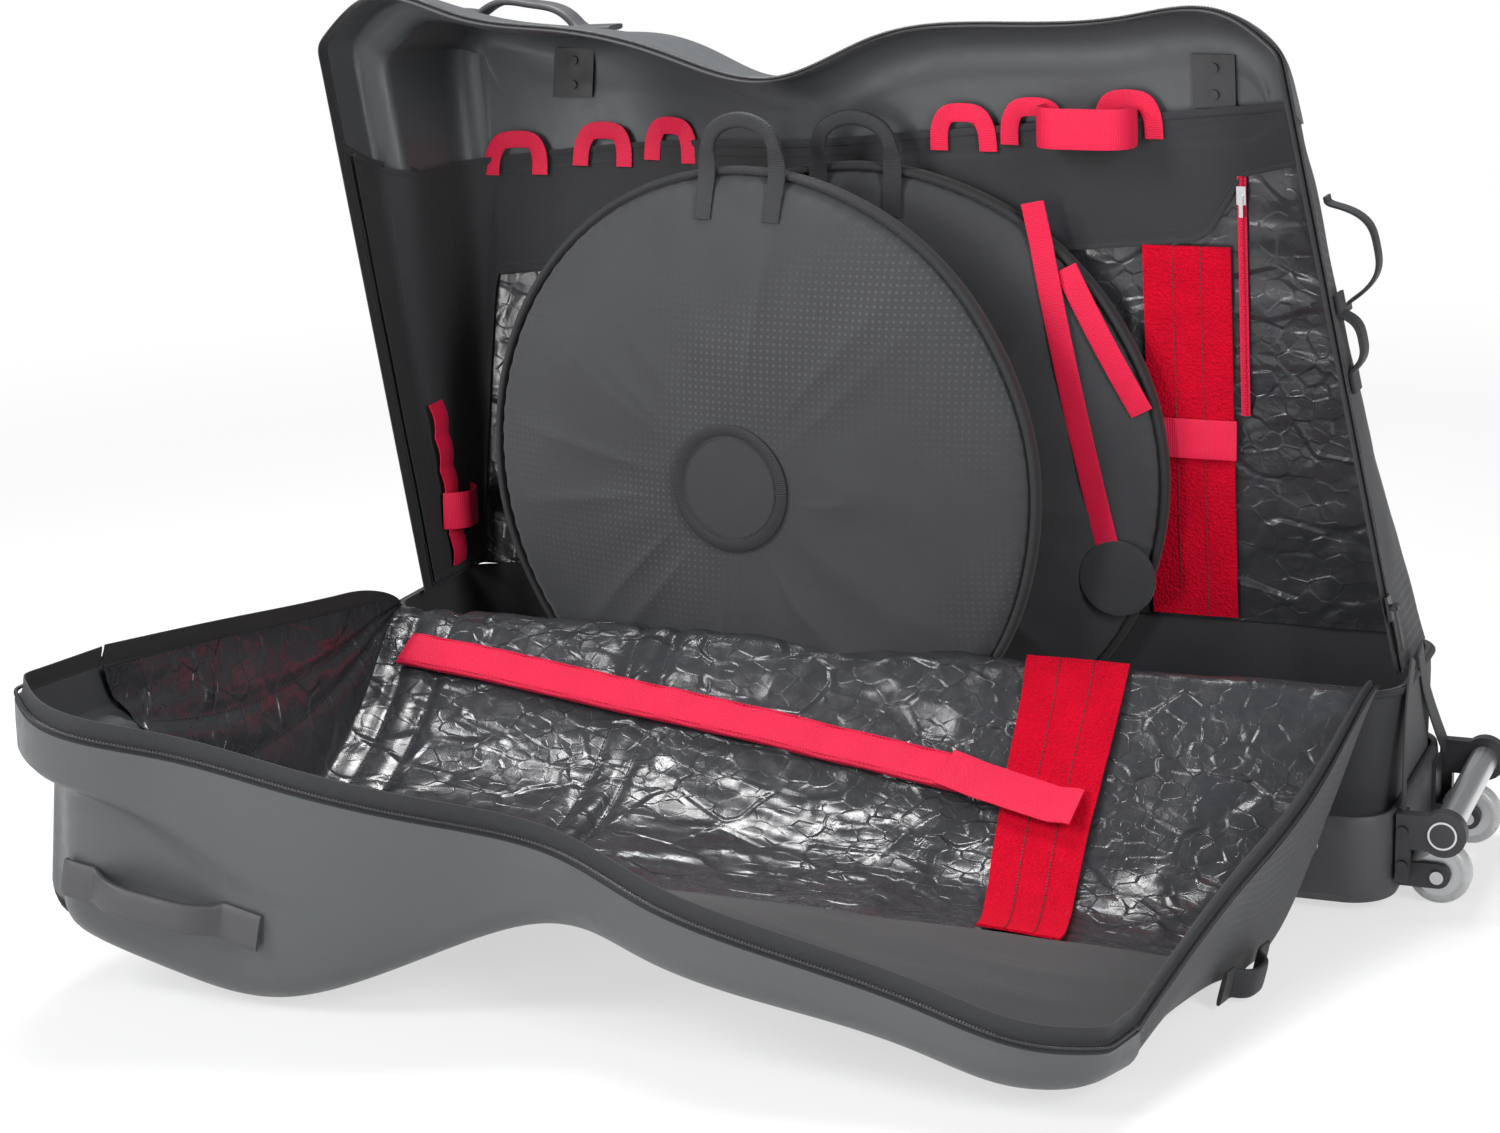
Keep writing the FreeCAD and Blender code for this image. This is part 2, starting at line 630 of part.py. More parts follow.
def centred_sketch(body, name, width, height):
    sketch = body.newObject("Sketcher::SketchObject", name + "_sketch")
    plane = [feature for feature in body.Origin.OriginFeatures if feature.Role == "XY_Plane"][0]
    sketch.AttachmentSupport = (plane, [""])
    sketch.MapMode = "FlatFace"
    corners = [Vector(x, y, 0) for x, y in ((-1, -1), (1, -1), (1, 1), (-1, 1))]
    for start, end in zip(corners, corners[1:] + corners[:1]):
        sketch.addGeometry(Part.LineSegment(start, end), False)
    for side in range(4):
        sketch.addConstraint(Sketcher.Constraint("Coincident", side, 2, (side + 1) % 4, 1))
    for side, kind in enumerate(("Horizontal", "Vertical", "Horizontal", "Vertical")):
        sketch.addConstraint(Sketcher.Constraint(kind, side))
    sketch.addConstraint(Sketcher.Constraint("Symmetric", 0, 1, 2, 1, -1, 1))
    across = sketch.addConstraint(Sketcher.Constraint("DistanceX", 0, 1, 0, 2, 2))
    upward = sketch.addConstraint(Sketcher.Constraint("DistanceY", 1, 1, 1, 2, 2))
    sketch.setExpression("Constraints[%d]" % across, width)
    sketch.setExpression("Constraints[%d]" % upward, height)
    return sketch


BOARD_LENGTH = "2 * (sizes.zip_half + sizes.tub_flare - sizes.tub_wall - sizes.board_end_gap)"
BOARD_WIDTH = "2 * (sizes.base_depth - sizes.tub_wall - sizes.board_side_gap)"


def padded_board(name, length, width, thick, bend):
    body = doc.addObject("PartDesign::Body", name)
    pad = body.newObject("PartDesign::Pad", name + "_pad")
    pad.Profile = centred_sketch(body, name, length, width)
    bind(pad, Length=thick)
    doc.recompute()
    uprights = ["Edge%d" % (index + 1) for index, edge in enumerate(pad.Shape.Edges)
                if abs(edge.tangentAt(edge.FirstParameter).z) > math.sqrt(0.5)]
    fillet = body.newObject("PartDesign::Fillet", name + "_fillet")
    fillet.Base = (pad, uprights)
    bind(fillet, Radius=bend)
    body.Tip = fillet
    return keep(name, body)


def build_boards():
    board = padded_board("base_board", BOARD_LENGTH, BOARD_WIDTH,
                         "sizes.board_thick", "sizes.board_round")
    place(board, "0", "0", "sizes.tub_bottom + sizes.tub_wall + sizes.seat_gap")
    padded_board("base_skid", "sizes.skid_length", "sizes.skid_width",
                 "sizes.tub_bottom - sizes.seat_gap", "sizes.skid_round")


# Grab tube and rollers on the boot

BOOT_FACE = "sizes.zip_half + sizes.tub_flare + sizes.boot_wall + sizes.seat_gap"
TUBE_X = "sizes.zip_half + sizes.tub_flare + sizes.boot_wall + sizes.tube_stand"
ROLLER_X = "sizes.zip_half + sizes.tub_flare + sizes.boot_wall + sizes.roller_stand"
SIDES = (("near", "-1"), ("far", "1"))


def build_grab():
    tube = bound_rod("tube_outside", "sizes.tube_radius", "2 * sizes.tube_half", TUBE_X, "-sizes.tube_half",
                     "sizes.tube_level")
    bore = bound_rod("tube_inside", "sizes.tube_radius - sizes.tube_wall",
                     "2 * sizes.tube_half + 2 * sizes.overrun", TUBE_X,
                     "-sizes.tube_half - sizes.overrun", "sizes.tube_level")
    keep("grab_tube", pierced("grab_tube", tube, bore))
    plugs = []
    bolts = []
    for side, sign in SIDES:
        low = "%s * sizes.bracket_track - sizes.bracket_thick / 2" % sign
        arm = bound_box("bracket_arm_" + side, "sizes.tube_stand - sizes.seat_gap", "sizes.bracket_thick",
                        "sizes.bracket_foot / 2", BOOT_FACE, low, "sizes.tube_level - sizes.bracket_foot / 4")
        foot = bound_box("bracket_foot_" + side, "sizes.bracket_thick", "sizes.bracket_thick",
                         "sizes.bracket_foot", BOOT_FACE, low,
                         "sizes.tube_level - 3 * sizes.bracket_foot / 4")
        ring = bound_rod("bracket_ring_" + side, "sizes.bracket_round", "sizes.bracket_thick", TUBE_X, low,
                         "sizes.tube_level")
        hole = bound_rod("bracket_hole_" + side, "sizes.tube_radius + sizes.fit_gap",
                         "sizes.bracket_thick + 2 * sizes.overrun", TUBE_X, low + " - sizes.overrun",
                         "sizes.tube_level")
        whole = joined("bracket_whole_" + side, arm, foot, ring)
        keep("bracket_" + side, pierced("bracket_" + side, whole, hole))
        plug_low = "%s * (sizes.tube_half - sizes.plug_depth / 2) - sizes.plug_depth / 2" % sign
        plugs.append(bound_rod("tube_plug_" + side, "sizes.tube_radius - sizes.tube_wall - sizes.fit_gap",
                               "sizes.plug_depth", TUBE_X, plug_low, "sizes.tube_level"))
        reach = "sizes.bracket_track + sizes.bracket_thick / 2 + sizes.seat_gap + sizes.bolt_rise / 2"
        face = "%s * (%s)" % (sign, reach)
        for level in ("sizes.tube_level - sizes.bracket_foot / 2", "sizes.tube_level"):
            bolts.append(bound_rod("bracket_bolt_%s_%d" % (side, len(bolts)),
                                   "sizes.bolt_head", "sizes.bolt_rise",
                                   BOOT_FACE + " + sizes.bracket_thick / 2",
                                   face + " - sizes.bolt_rise / 2", level))
    for label, parts in (("tube_plugs", plugs), ("bracket_bolts", bolts)):
        group = doc.addObject("Part::Compound", label)
        group.Links = parts
        keep(label, group)


def ring_body(name, outside, inside, width, bend):
    body = doc.addObject("PartDesign::Body", name)
    sketch = centred_sketch(body, name, "%s - (%s)" % (outside, inside), width)
    sketch.setExpression(".AttachmentOffset.Base.x", "(%s + %s) / 2" % (outside, inside))
    turn = body.newObject("PartDesign::Revolution", name + "_turn")
    turn.Profile = sketch
    axis = [feature for feature in body.Origin.OriginFeatures if feature.Role == "Y_Axis"][0]
    turn.ReferenceAxis = (axis, [""])
    body.Tip = turn
    if bend:
        doc.recompute()
        edges = ["Edge%d" % (index + 1) for index, edge in enumerate(turn.Shape.Edges)
                 if edge.BoundBox.XLength > 2 * size("rim_radius") + size("tyre_round")]
        fillet = body.newObject("PartDesign::Fillet", name + "_fillet")
        fillet.Base = (turn, edges)
        bind(fillet, Radius=bend)
        body.Tip = fillet
    return body


def build_rollers():
    for side, sign in SIDES:
        middle = "%s * sizes.roller_track" % sign
        where = (ROLLER_X, middle, "sizes.tyre_radius")
        tyre = ring_body("tyre_" + side, "sizes.tyre_radius", "sizes.rim_radius + sizes.fit_gap",
                         "sizes.tyre_width", "sizes.tyre_round")
        keep("tyre_" + side, place(tyre, *where))
        hub = ring_body("hub_" + side, "sizes.rim_radius", "sizes.bearing_radius + sizes.fit_gap",
                        "sizes.tyre_width - 2 * sizes.fit_gap", None)
        keep("hub_" + side, place(hub, *where))
        bearings = []
        for end, step in (("a", "-1"), ("b", "1")):
            y = "%s + %s * (sizes.tyre_width - sizes.bearing_width) / 2" % (middle, step)
            ring = ring_body("bearing_%s_%s" % (side, end), "sizes.bearing_radius",
                             "sizes.axle_radius + sizes.fit_gap", "sizes.bearing_width", None)
            bearings.append(place(ring, ROLLER_X, y, "sizes.tyre_radius"))
        group = doc.addObject("Part::Compound", "bearings_" + side)
        group.Links = bearings
        keep("bearings_" + side, group)
        build_fork(side, sign, middle)


def build_fork(side, sign, middle):
    inner = "(sizes.tyre_width / 2 + sizes.roller_gap)"
    outer = "(sizes.tyre_width / 2 + sizes.roller_gap + sizes.fork_plate)"
    low = "%s - %s" % (middle, outer)
    web = bound_box("fork_web_" + side, "sizes.fork_web", "2 * " + outer,
                    "sizes.fork_top - sizes.tyre_radius + sizes.fork_round",
                    BOOT_FACE, low, "sizes.tyre_radius - sizes.fork_round")
    plates = [web]
    for end, start in (("a", low), ("b", "%s + %s" % (middle, inner))):
        plates.append(bound_box("fork_plate_%s_%s" % (side, end), "sizes.roller_stand - sizes.seat_gap",
                                "sizes.fork_plate", "2 * sizes.fork_round",
                                BOOT_FACE, start, "sizes.tyre_radius - sizes.fork_round"))
        plates.append(bound_rod("fork_eye_%s_%s" % (side, end), "sizes.fork_round", "sizes.fork_plate",
                                ROLLER_X, start, "sizes.tyre_radius"))
    hole = bound_rod("fork_hole_" + side, "sizes.axle_radius + sizes.fit_gap",
                     "2 * %s + 2 * sizes.overrun" % outer, ROLLER_X,
                     "%s - sizes.overrun" % low, "sizes.tyre_radius")
    keep("fork_" + side, pierced("fork_" + side, joined("fork_whole_" + side, *plates), hole))
    grip = "2 * %s + 2 * sizes.seat_gap" % outer
    shank = bound_rod("axle_shank_" + side, "sizes.axle_radius",
                      grip + " + 2 * sizes.axle_head_rise", ROLLER_X,
                      "%s - sizes.seat_gap - sizes.axle_head_rise" % low, "sizes.tyre_radius")
    heads = [bound_rod("axle_head_%s_%s" % (side, end), "sizes.axle_head", "sizes.axle_head_rise",
                       ROLLER_X, start, "sizes.tyre_radius")
             for end, start in (("a", "%s - sizes.seat_gap - sizes.axle_head_rise" % low),
                                ("b", "%s + %s + sizes.seat_gap" % (middle, outer)))]
    keep("axle_" + side, joined("axle_" + side, shank, *heads))


# Zip slider on the straight rim at the roller end

def zip_frame():
    foot = end_point(1, 0, 0)
    head = end_point(1, 1, 0)
    up = (head - foot).normalize()
    return frame_at(foot + up * (size("slider_length") + size("pull_length")), up, Vector(0, -1, 0))


def build_zip_slider():
    width = size("slider_width")
    base = size("seat_gap") - size("tape_inset") - (size("tape_thick") - size("teeth_thick")) / 2
    lug = (width - size("pin_length")) / 2
    eye = 2 * size("pin_radius")
    pivot = base + size("slider_thick") + size("seat_gap") + eye
    plate = Part.makeBox(size("slider_length"), width, size("slider_thick"),
                         Vector(-size("slider_length") / 2, -width / 2, base))
    solid = plate
    for start in (-size("pin_length") / 2, size("pin_length") / 2 - lug):
        solid = solid.fuse(Part.makeBox(eye, lug, pivot + size("pin_radius") - base,
                                        Vector(-eye / 2, start, base)))
    pin = Part.makeCylinder(size("pin_radius"), size("pin_length"), Vector(0, -size("pin_length") / 2, pivot),
                            Vector(0, 1, 0))
    keep_shape("zip_slider", set_on(solid.fuse(pin).removeSplitter(), zip_frame()))
    half = size("pull_width") / 2
    ring = Part.makeCylinder(eye, size("pull_width"), Vector(0, -half, pivot), Vector(0, 1, 0))
    arm = Part.makeBox(size("pull_length"), size("pull_width"), size("pull_thick"),
                       Vector(-size("pull_length"), -half, pivot - size("pull_thick") / 2))
    hole = Part.makeCylinder(size("pin_radius") + size("fit_gap"), 2 * size("overrun"),
                             Vector(0, -size("overrun"), pivot), Vector(0, 1, 0))
    keep_shape("zip_pull", set_on(ring.fuse(arm).cut(hole).removeSplitter(), zip_frame()))


def tape_point(inset, x, z):
    block = half_block(inset)
    line = Part.makeLine(Vector(x, 2 * size("zip_width"), z), Vector(x, 2 * size("hump_depth"), z))
    return Vector(x, line.common(block).BoundBox.YMax, z)


def build_pocket_slider():
    inset = layer_inset(0) + size("web_thick") + size("strap_lift")
    top = size("zip_level") + size("pocket_top") - size("puller_length")
    low = top - size("pocket_length") + 2 * size("puller_length")
    high_point = tape_point(inset, size("pocket_x"), top)
    low_point = tape_point(inset, size("pocket_x"), low)
    up = (high_point - low_point).normalize()
    frame = frame_at(high_point, up, Vector(-1, 0, 0))
    body = Part.makeBox(size("puller_length"), size("pocket_width"), size("plate_thick"),
                        Vector(-size("puller_length") / 2, -size("pocket_width") / 2, 0))
    tag = Part.makeBox(size("pull_length") / 2, size("pull_width") / 2, size("plate_thick"),
                       Vector(-size("pull_length") / 2, -size("pull_width") / 4, size("plate_thick")))
    keep_shape("pocket_zip_slider", set_on(body.fuse(tag).removeSplitter(), frame))


# Two padded wheel bags

def lens(radius, edge, front, back):
    front_arc = Part.Arc(Vector(-radius, -edge, 0), Vector(0, -front, 0), Vector(radius, -edge, 0))
    back_arc = Part.Arc(Vector(-radius, edge, 0), Vector(0, back, 0), Vector(radius, edge, 0))
    outline = Part.Wire([
        Part.makeLine(Vector(0, back, 0), Vector(0, -front, 0)),
        Part.Arc(Vector(0, -front, 0), arc_middle(front_arc), Vector(radius, -edge, 0)).toShape(),
        Part.makeLine(Vector(radius, -edge, 0), Vector(radius, edge, 0)),
        Part.Arc(Vector(radius, edge, 0), arc_middle(back_arc), Vector(0, back, 0)).toShape(),
    ])
    solid = Part.Face(outline).revolve(Vector(), Vector(0, 1, 0), 360)
    return solid


def arc_middle(arc):
    curve = arc.toShape()
    span = curve.LastParameter - curve.FirstParameter
    points = [curve.valueAt(curve.FirstParameter + span * share) for share in (0.25, 0.75)]
    return max(points, key=lambda point: point.x)


def build_bag(name, front, back, placement):
    radius = size("bag_radius")
    pad = lens(radius, size("bag_edge"), front, back)
    ring = Part.makeTorus(radius + size("binding_radius") + size("seat_gap"), size("binding_radius"),
                          Vector(), Vector(0, 1, 0))
    gap = size("seat_gap")
    cover = lens(radius, size("bag_edge") + gap + size("hub_thick"), front + gap + size("hub_thick"), back)
    cover = cover.cut(lens(radius + gap, size("bag_edge") + gap, front + gap, back + gap))
    plug = Part.makeCylinder(size("hub_radius"), 2 * front, Vector(0, -2 * front, 0), Vector(0, 1, 0))
    patch = cover.common(plug)
    half = size("bag_handle_span") / 2
    web = size("bag_web") / 2
    foot = radius - size("bag_handle_leg")
    crown = radius + size("bag_handle_rise") - half
    fall = (front - size("bag_edge")) * (foot / radius) ** 2
    lift = fall - front - gap - size("web_thick")

    def bow(reach):
        side = Part.makeBox(2 * reach, size("web_thick"), crown - foot, Vector(-reach, lift, foot))
        cap = Part.makeCylinder(reach, size("web_thick"), Vector(0, lift, crown), Vector(0, 1, 0))
        return side.fuse(cap)

    inner = bow(half - web)
    inner.translate(Vector(0, 0, -size("seat_gap")))
    handle = bow(half + web).cut(inner)
    handle = handle.cut(Part.makeBox(2 * (half - web), size("overrun"), 2 * size("overrun"),
                                     Vector(web - half, lift - size("web_thick"), foot - size("overrun"))))
    keep_shape(name + "_pad", pad, placement)
    keep_shape(name + "_binding", ring, placement)
    keep_shape(name + "_hub_patch", patch, placement)
    keep_shape(name + "_handle", handle.removeSplitter(), placement)


def build_bags():
    floor = size("tub_bottom") + size("tub_wall") + size("board_thick") + 2 * size("seat_gap")
    ring = size("bag_radius") + size("binding_radius") + size("seat_gap")
    seat = floor + size("binding_radius")
    front = Placement(Vector(size("front_bag_x"), size("front_bag_y"), seat + ring),
                      Rotation(Vector(0, 0, 1), -size("front_bag_yaw")))
    build_bag("front_bag", size("bag_dome"), size("bag_back"), front)
    leaned = ring * math.cos(math.radians(size("rear_bag_lean")))
    rear = Placement(Vector(size("rear_bag_x"), size("rear_bag_y"), seat + leaned),
                     Rotation(Vector(1, 0, 0), size("rear_bag_lean")))
    build_bag("rear_bag", size("bag_back"), size("bag_back"), rear)
    build_straps(rear)


# Straps that hang in front of the rear wheel bag, and the loop for the saddle

def strip(shares, y, width, thick):
    radius = size("bag_radius")
    start, end = [Vector(radius * x, y, radius * z) for x, z in shares]
    along = (end - start).normalize()
    box = Part.makeBox((end - start).Length, width, thick, Vector(0, -width / 2, 0))
    across = Vector(0, -1, 0).cross(along)
    return set_on(box, Placement(start, Rotation(along, across, Vector(0, -1, 0), "ZXY")))


def build_straps(placement):
    fall = (size("bag_back") - size("bag_edge")) * STRAP_NEAR_SHARE ** 2
    y = fall - size("bag_back") - size("seat_gap")
    front = y - size("web_thick") - size("seat_gap")
    end_x, end_z = [size("bag_radius") * share for share in STRAP_SHARES[1]]
    straps = [
        strip(STRAP_SHARES, y, size("strap_width"), size("web_thick")),
        strip(TIE_SHARES, front, size("strap_width"), size("web_thick")),
    ]
    keep_shape("frame_straps", Part.makeCompound(straps), placement)
    pad = Part.makeCylinder(size("pad_radius"), size("pad_thick"),
                            Vector(end_x, front - size("pad_thick"), end_z), Vector(0, 1, 0))
    keep_shape("strap_pad", pad, placement)


def build_saddle_loop():
    span = [between(-size("top_left"), size("top_right"), share) for share in SADDLE_SHARES]
    level = size("zip_level") + size("rim_height") * SADDLE_LEVEL_SHARE
    thick = size("web_thick")
    start = size("zip_width") + size("shell_wall")
    outer = Part.makeBox(span[1] - span[0], size("hump_depth"), size("wide_strap"),
                         Vector(span[0], start, level))
    void = Part.makeBox(span[1] - span[0] - 2 * thick, size("hump_depth"), 3 * size("wide_strap"),
                        Vector(span[0] + thick, start + thick, level - size("wide_strap")))
    keep_shape("saddle_loop", outer.cut(void).common(half_block(layer_inset(1))))


# The lid's soft panel, lining and webbing, in the shape they take when the lid lies open

def lid_row(index, offset):
    share = ROW_SHARES[index]
    corners = []
    walls = ((-1, WALL_LEFT_SHARES, LEAN_LEFT_SHARES, split_rise("left")),
             (1, WALL_RIGHT_SHARES, LEAN_RIGHT_SHARES, split_rise("right")))
    for side, wall_shares, lean_shares, rise in walls:
        foot, head, out, depth = station_mix(0.0 if side < 0 else 1.0)
        hard = foot + (head - foot) * (rise / (head - foot).z)
        shut = lid_open().multVec(hard)
        rim = foot + (shut - foot) * share
        if index == 0:
            rim = Vector(rim.x, -size("ridge_front") - 2 * size("seat_gap"),
                         size("ridge_level") + size("tub_flare"))
        lean = size("tub_flare") * lean_shares[index]
        low = rim.z * (1 - wall_shares[index])
        corners.append((rim, Vector(rim.x - side * (lean + offset), 0, low + offset),
                        Vector(rim.x - side * offset, 0, rim.z)))
    (left, foot_left, rim_left), (right, foot_right, rim_right) = corners
    for corner in (rim_left, foot_left, foot_right, rim_right):
        corner.y = between(left.y, right.y, (corner.x - left.x) / (right.x - left.x))
    return rim_left, foot_left, foot_right, rim_right


def lid_layer(offset, thick):
    wires = []
    for index in range(len(ROW_SHARES)):
        points = list(lid_row(index, offset)) + list(reversed(lid_row(index, offset + thick)))
        wires.append(Part.makePolygon(points + points[:1]))
    return Part.makeLoft(wires, True, True)


def floor_spot(row, share, offset):
    index = min(int(row), len(ROW_SHARES) - 2)
    near, far = [lid_row(place_index, offset) for place_index in (index, index + 1)]
    first = near[1] + (near[2] - near[1]) * share
    second = far[1] + (far[2] - far[1]) * share
    return first + (second - first) * (row - index)


def build_sleeve(offset):
    wires = []
    for step in range(SLEEVE_STEPS + 1):
        row = between(*SLEEVE_ROW_SHARES, step / SLEEVE_STEPS)
        share = between(*SLEEVE_SIDE_SHARES, step / SLEEVE_STEPS)
        fall = floor_spot(1, share, offset) - floor_spot(0, share, offset)
        middle = floor_spot(row, share, offset)
        half = fall * (size("sleeve_width") / 2 / fall.Length)
        lift = Vector(0, -fall.z, fall.y).normalize() * -size("sleeve_thick")
        if lift.z < 0:
            lift = lift * -1
        points = [middle - half, middle + half, middle + half + lift, middle - half + lift]
        wires.append(Part.makePolygon(points + points[:1]))
    return Part.makeLoft(wires, True, True)


def build_lid_soft():
    wall = size("shell_wall")
    hard = mirrored(split_block(size("seat_gap")))
    hard.Placement = lid_open().multiply(hard.Placement)
    keep_shape("lid_panel", lid_layer(0, wall).cut(hard))
    inside = wall + size("seat_gap")
    keep_shape("lid_lining", lid_layer(inside, size("lining_thick")).cut(hard))
    top = inside + size("lining_thick") + size("strap_lift")
    wires = []
    for index, (low, high) in enumerate(zip(LOOP_LOW_SHARES, LOOP_HIGH_SHARES)):
        points = [floor_spot(index, low, top), floor_spot(index, high, top)]
        lift = Vector(0, 0, size("web_thick"))
        points = points + [points[1] + lift, points[0] + lift]
        wires.append(Part.makePolygon(points + points[:1]))
    keep_shape("lid_loop_panel", Part.makeLoft(wires[:3], True, True))
    keep_shape("lid_sleeve", build_sleeve(top))
    build_side_tapes()
    liner = skin(inside, size("lining_thick")).common(split_block(0))
    band_low = between(-size("top_left"), size("top_right"), LID_BAND_SHARE)
    seam = between(-size("top_left"), size("top_right"), LID_SEAM_SHARE)
    facing = size("zip_width") + size("sleeve_width")
    room = Part.makeBox(size("top_right") + size("zip_half"), facing, 2 * size("rim_height"),
                        Vector(band_low, size("zip_width") + inside, 0))
    keep_shape("lid_band", mirrored(liner.common(room)), lid_open())
    liner_end = between(-size("top_left"), size("top_right"), LID_LINER_SHARE)
    room = Part.makeBox(liner_end - seam, 2 * size("hump_depth"), 2 * size("rim_height"),
                        Vector(seam, facing + inside + size("zip_width") + size("seat_gap"), 0))
    keep_shape("lid_liner", mirrored(liner.common(room)), lid_open())


def build_side_tapes():
    tapes = []
    rows = [lid_row(index, size("tape_inset")) for index in range(len(ROW_SHARES))]
    for corner, side in ((0, -1), (3, 1)):
        wires = []
        for row in rows:
            base = row[corner] + Vector(0, 0, size("seat_gap"))
            across = Vector(-side * size("tape_thick"), 0, 0)
            lift = Vector(0, 0, size("zip_width") - size("teeth_width"))
            points = [base, base + across, base + across + lift, base + lift]
            wires.append(Part.makePolygon(points + points[:1]))
        tapes.append(Part.makeLoft(wires, True, True))
    keep_shape("lid_side_tapes", Part.makeCompound(tapes))


def main():
    fill_sheet()
    build_shells()
    build_zip()
    build_back_lining()
    build_strap_tabs(build_back_webbing())
    build_handles()
    build_plates()
    build_tub()
    build_boards()
    build_grab()
    build_rollers()
    build_zip_slider()
    build_pocket_slider()
    build_bags()
    build_saddle_loop()
    build_lid_soft()


def check_pieces():
    for feature in doc.Objects:
        if "Invalid" in feature.State or "Error" in feature.State:
            raise RuntimeError("%s could not be built" % feature.Label)
    for piece in pieces:
        if piece.Shape.isNull() or not piece.Shape.isValid() or not piece.Shape.Solids:
            raise RuntimeError("%s has no sound solid" % piece.Label)


def write_pieces():
    os.makedirs("parts", exist_ok=True)
    for piece in pieces:
        piece.Shape.exportStep(os.path.join("parts", piece.Label + ".step"))


main()
doc.recompute()
check_pieces()
write_pieces()
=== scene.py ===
import math

import bpy
import numpy as np
from bpy.props import FloatProperty, FloatVectorProperty, PointerProperty
from bpy.types import Operator, Panel, PropertyGroup
from mathutils import Matrix, Vector


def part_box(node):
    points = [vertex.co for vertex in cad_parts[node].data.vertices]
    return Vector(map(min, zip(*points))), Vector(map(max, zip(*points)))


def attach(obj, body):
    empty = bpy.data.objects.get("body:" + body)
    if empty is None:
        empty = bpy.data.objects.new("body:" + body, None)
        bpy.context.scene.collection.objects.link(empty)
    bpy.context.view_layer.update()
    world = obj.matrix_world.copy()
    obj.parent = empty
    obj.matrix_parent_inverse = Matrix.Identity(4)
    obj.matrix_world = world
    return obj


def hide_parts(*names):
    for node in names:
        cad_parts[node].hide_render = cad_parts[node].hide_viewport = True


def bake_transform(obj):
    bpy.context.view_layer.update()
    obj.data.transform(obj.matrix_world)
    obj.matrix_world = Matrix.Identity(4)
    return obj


bl_info = {
    "name": "Bike travel case",
    "version": (1, 0, 0),
    "blender": (4, 5, 0),
    "location": "View3D > Sidebar > Travel case",
    "description": "Dresses the frame of a bike travel case with its shells, linings, wheel bags and webbing",
    "category": "Object",
}

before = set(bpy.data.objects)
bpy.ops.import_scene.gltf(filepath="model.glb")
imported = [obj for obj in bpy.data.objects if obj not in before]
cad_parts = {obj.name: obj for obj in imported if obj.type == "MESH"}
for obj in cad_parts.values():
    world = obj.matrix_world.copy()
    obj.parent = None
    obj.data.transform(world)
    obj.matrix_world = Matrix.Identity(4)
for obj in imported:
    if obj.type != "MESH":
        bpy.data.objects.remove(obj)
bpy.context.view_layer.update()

# The photograph's frame in pixels, and where the camera's axis meets it
PHOTO_WIDTH, PHOTO_HEIGHT = 1500, 1133
FOCAL_PIXELS = 3086.115
AXIS_X_PIXEL, AXIS_Y_PIXEL = 896.025, 591.24

# Stations along the case from the hump end to the slim end, with the rim's height and the depth at each
STATION_SHARES = (0.0, 0.04, 0.16, 0.27, 0.38, 0.5, 0.6, 0.7, 0.85, 0.96, 1.0)
RIM_SHARES = (0.934, 0.998, 0.987, 0.968, 0.934, 0.895, 0.96, 0.985, 0.997, 0.995, 0.945)
DEPTH_SHARES = (0.565, 0.765, 1.0, 0.94, 0.565, 0.165, 0.09, 0.065, 0.03, 0.0, -0.06)

# Rows of the lid's soft half from the fold to the hard shell: place along the rim, wall depth and wall lean
ROW_SHARES = (0.1, 0.3, 0.62)
WALL_LEFT_SHARES = (0.055, 0.42, 0.78)
WALL_RIGHT_SHARES = (0.055, 0.72, 0.93)
LEAN_LEFT_SHARES = (0.3, 2.0, 3.6)
LEAN_RIGHT_SHARES = (0.3, 2.0, 1.7)
ROW_TIMES = (0.0, 0.2, 0.52)
CORNER_SHARE = 0.13

# The red tabs: shares of the case's length, and a tab's line, across and up from the flap's top edge
TAB_SHARES = (0.125, 0.22, 0.305, 0.672, 0.745, 0.84)
TAB_LINE = ((-0.028, -0.02), (-0.027, 0.0), (-0.0225, 0.013), (-0.012, 0.0205),
            (0.012, 0.0205), (0.0225, 0.013), (0.027, 0.0), (0.028, -0.02))

# Where the lid's lining starts behind the ridge and ends past the hard shell's edge
LINING_START, LINING_END = -0.14, 1.02

# The lid's matte cloth: where it starts on the liner, and its lower edge in shares of the floor and rows
MATTE_START_X = -0.06
MATTE_SHARES = (0.2, 0.28, 0.45, 0.65, 0.8, 1.0)
MATTE_ROWS = (2.97, 2.9, 2.5, 2.22, 2.1, 2.05)

# The matte band on the lid's top wall: where it starts, and its depths behind the rim
BAND_START_X, BAND_DEPTHS = -0.336, (0.018, 0.084)

# How much the folds of a lining are drawn out along each axis
BACK_DRAWN, LID_DRAWN = (1.5, 1.0, 0.55), (0.55, 1.3, 1.0)

# Columns of the lid's lining with sewn seams, and the rows that the seams span
LINING_SEAMS = ((0.045, 0.074), (0.157, 0.186), (0.336, 0.363))
LINING_SEAM_SPANS = ((0.2, 0.92), (0.3, 0.96), (0.1, 0.9))

# The column where the flap's leg ends, and its columns with sewn seams
LEG_END = 0.128
LEG_SEAMS = (0.034, 0.062, 0.09)

# The flap's cut at the slim end: places along the case and the rise of its lower edge there
FLAP_CUT_X = (0.305, 0.322, 0.374, 0.45)
FLAP_CUT_RISE = (0.436, 0.446, 0.507, 0.527)

# The moulded lip: where it ends along the case and fades, how it falls along the top, and its step
LIP_END_X, LIP_FADE, LIP_TOP_SHARE, LIP_SPAN = -0.3, 0.3, 0.75, 0.02
LIP_DROP, LIP_DROP_X, LIP_DROP_SPAN = 0.062, -0.56, 0.2

# Where the lid's soft sides start at the fold's ridge, and the first rows behind the ridge
RIDGE_Y, RIDGE_Z = -0.0706, 0.217
BEHIND_STEPS = ((0, 0.018, -0.045), (0, 0.008, -0.012))
BEHIND_TIMES = (-0.16, -0.06)

# The rim's points from high on the hump end to past the middle of the top
HUMP_TOP = slice(300, 900)

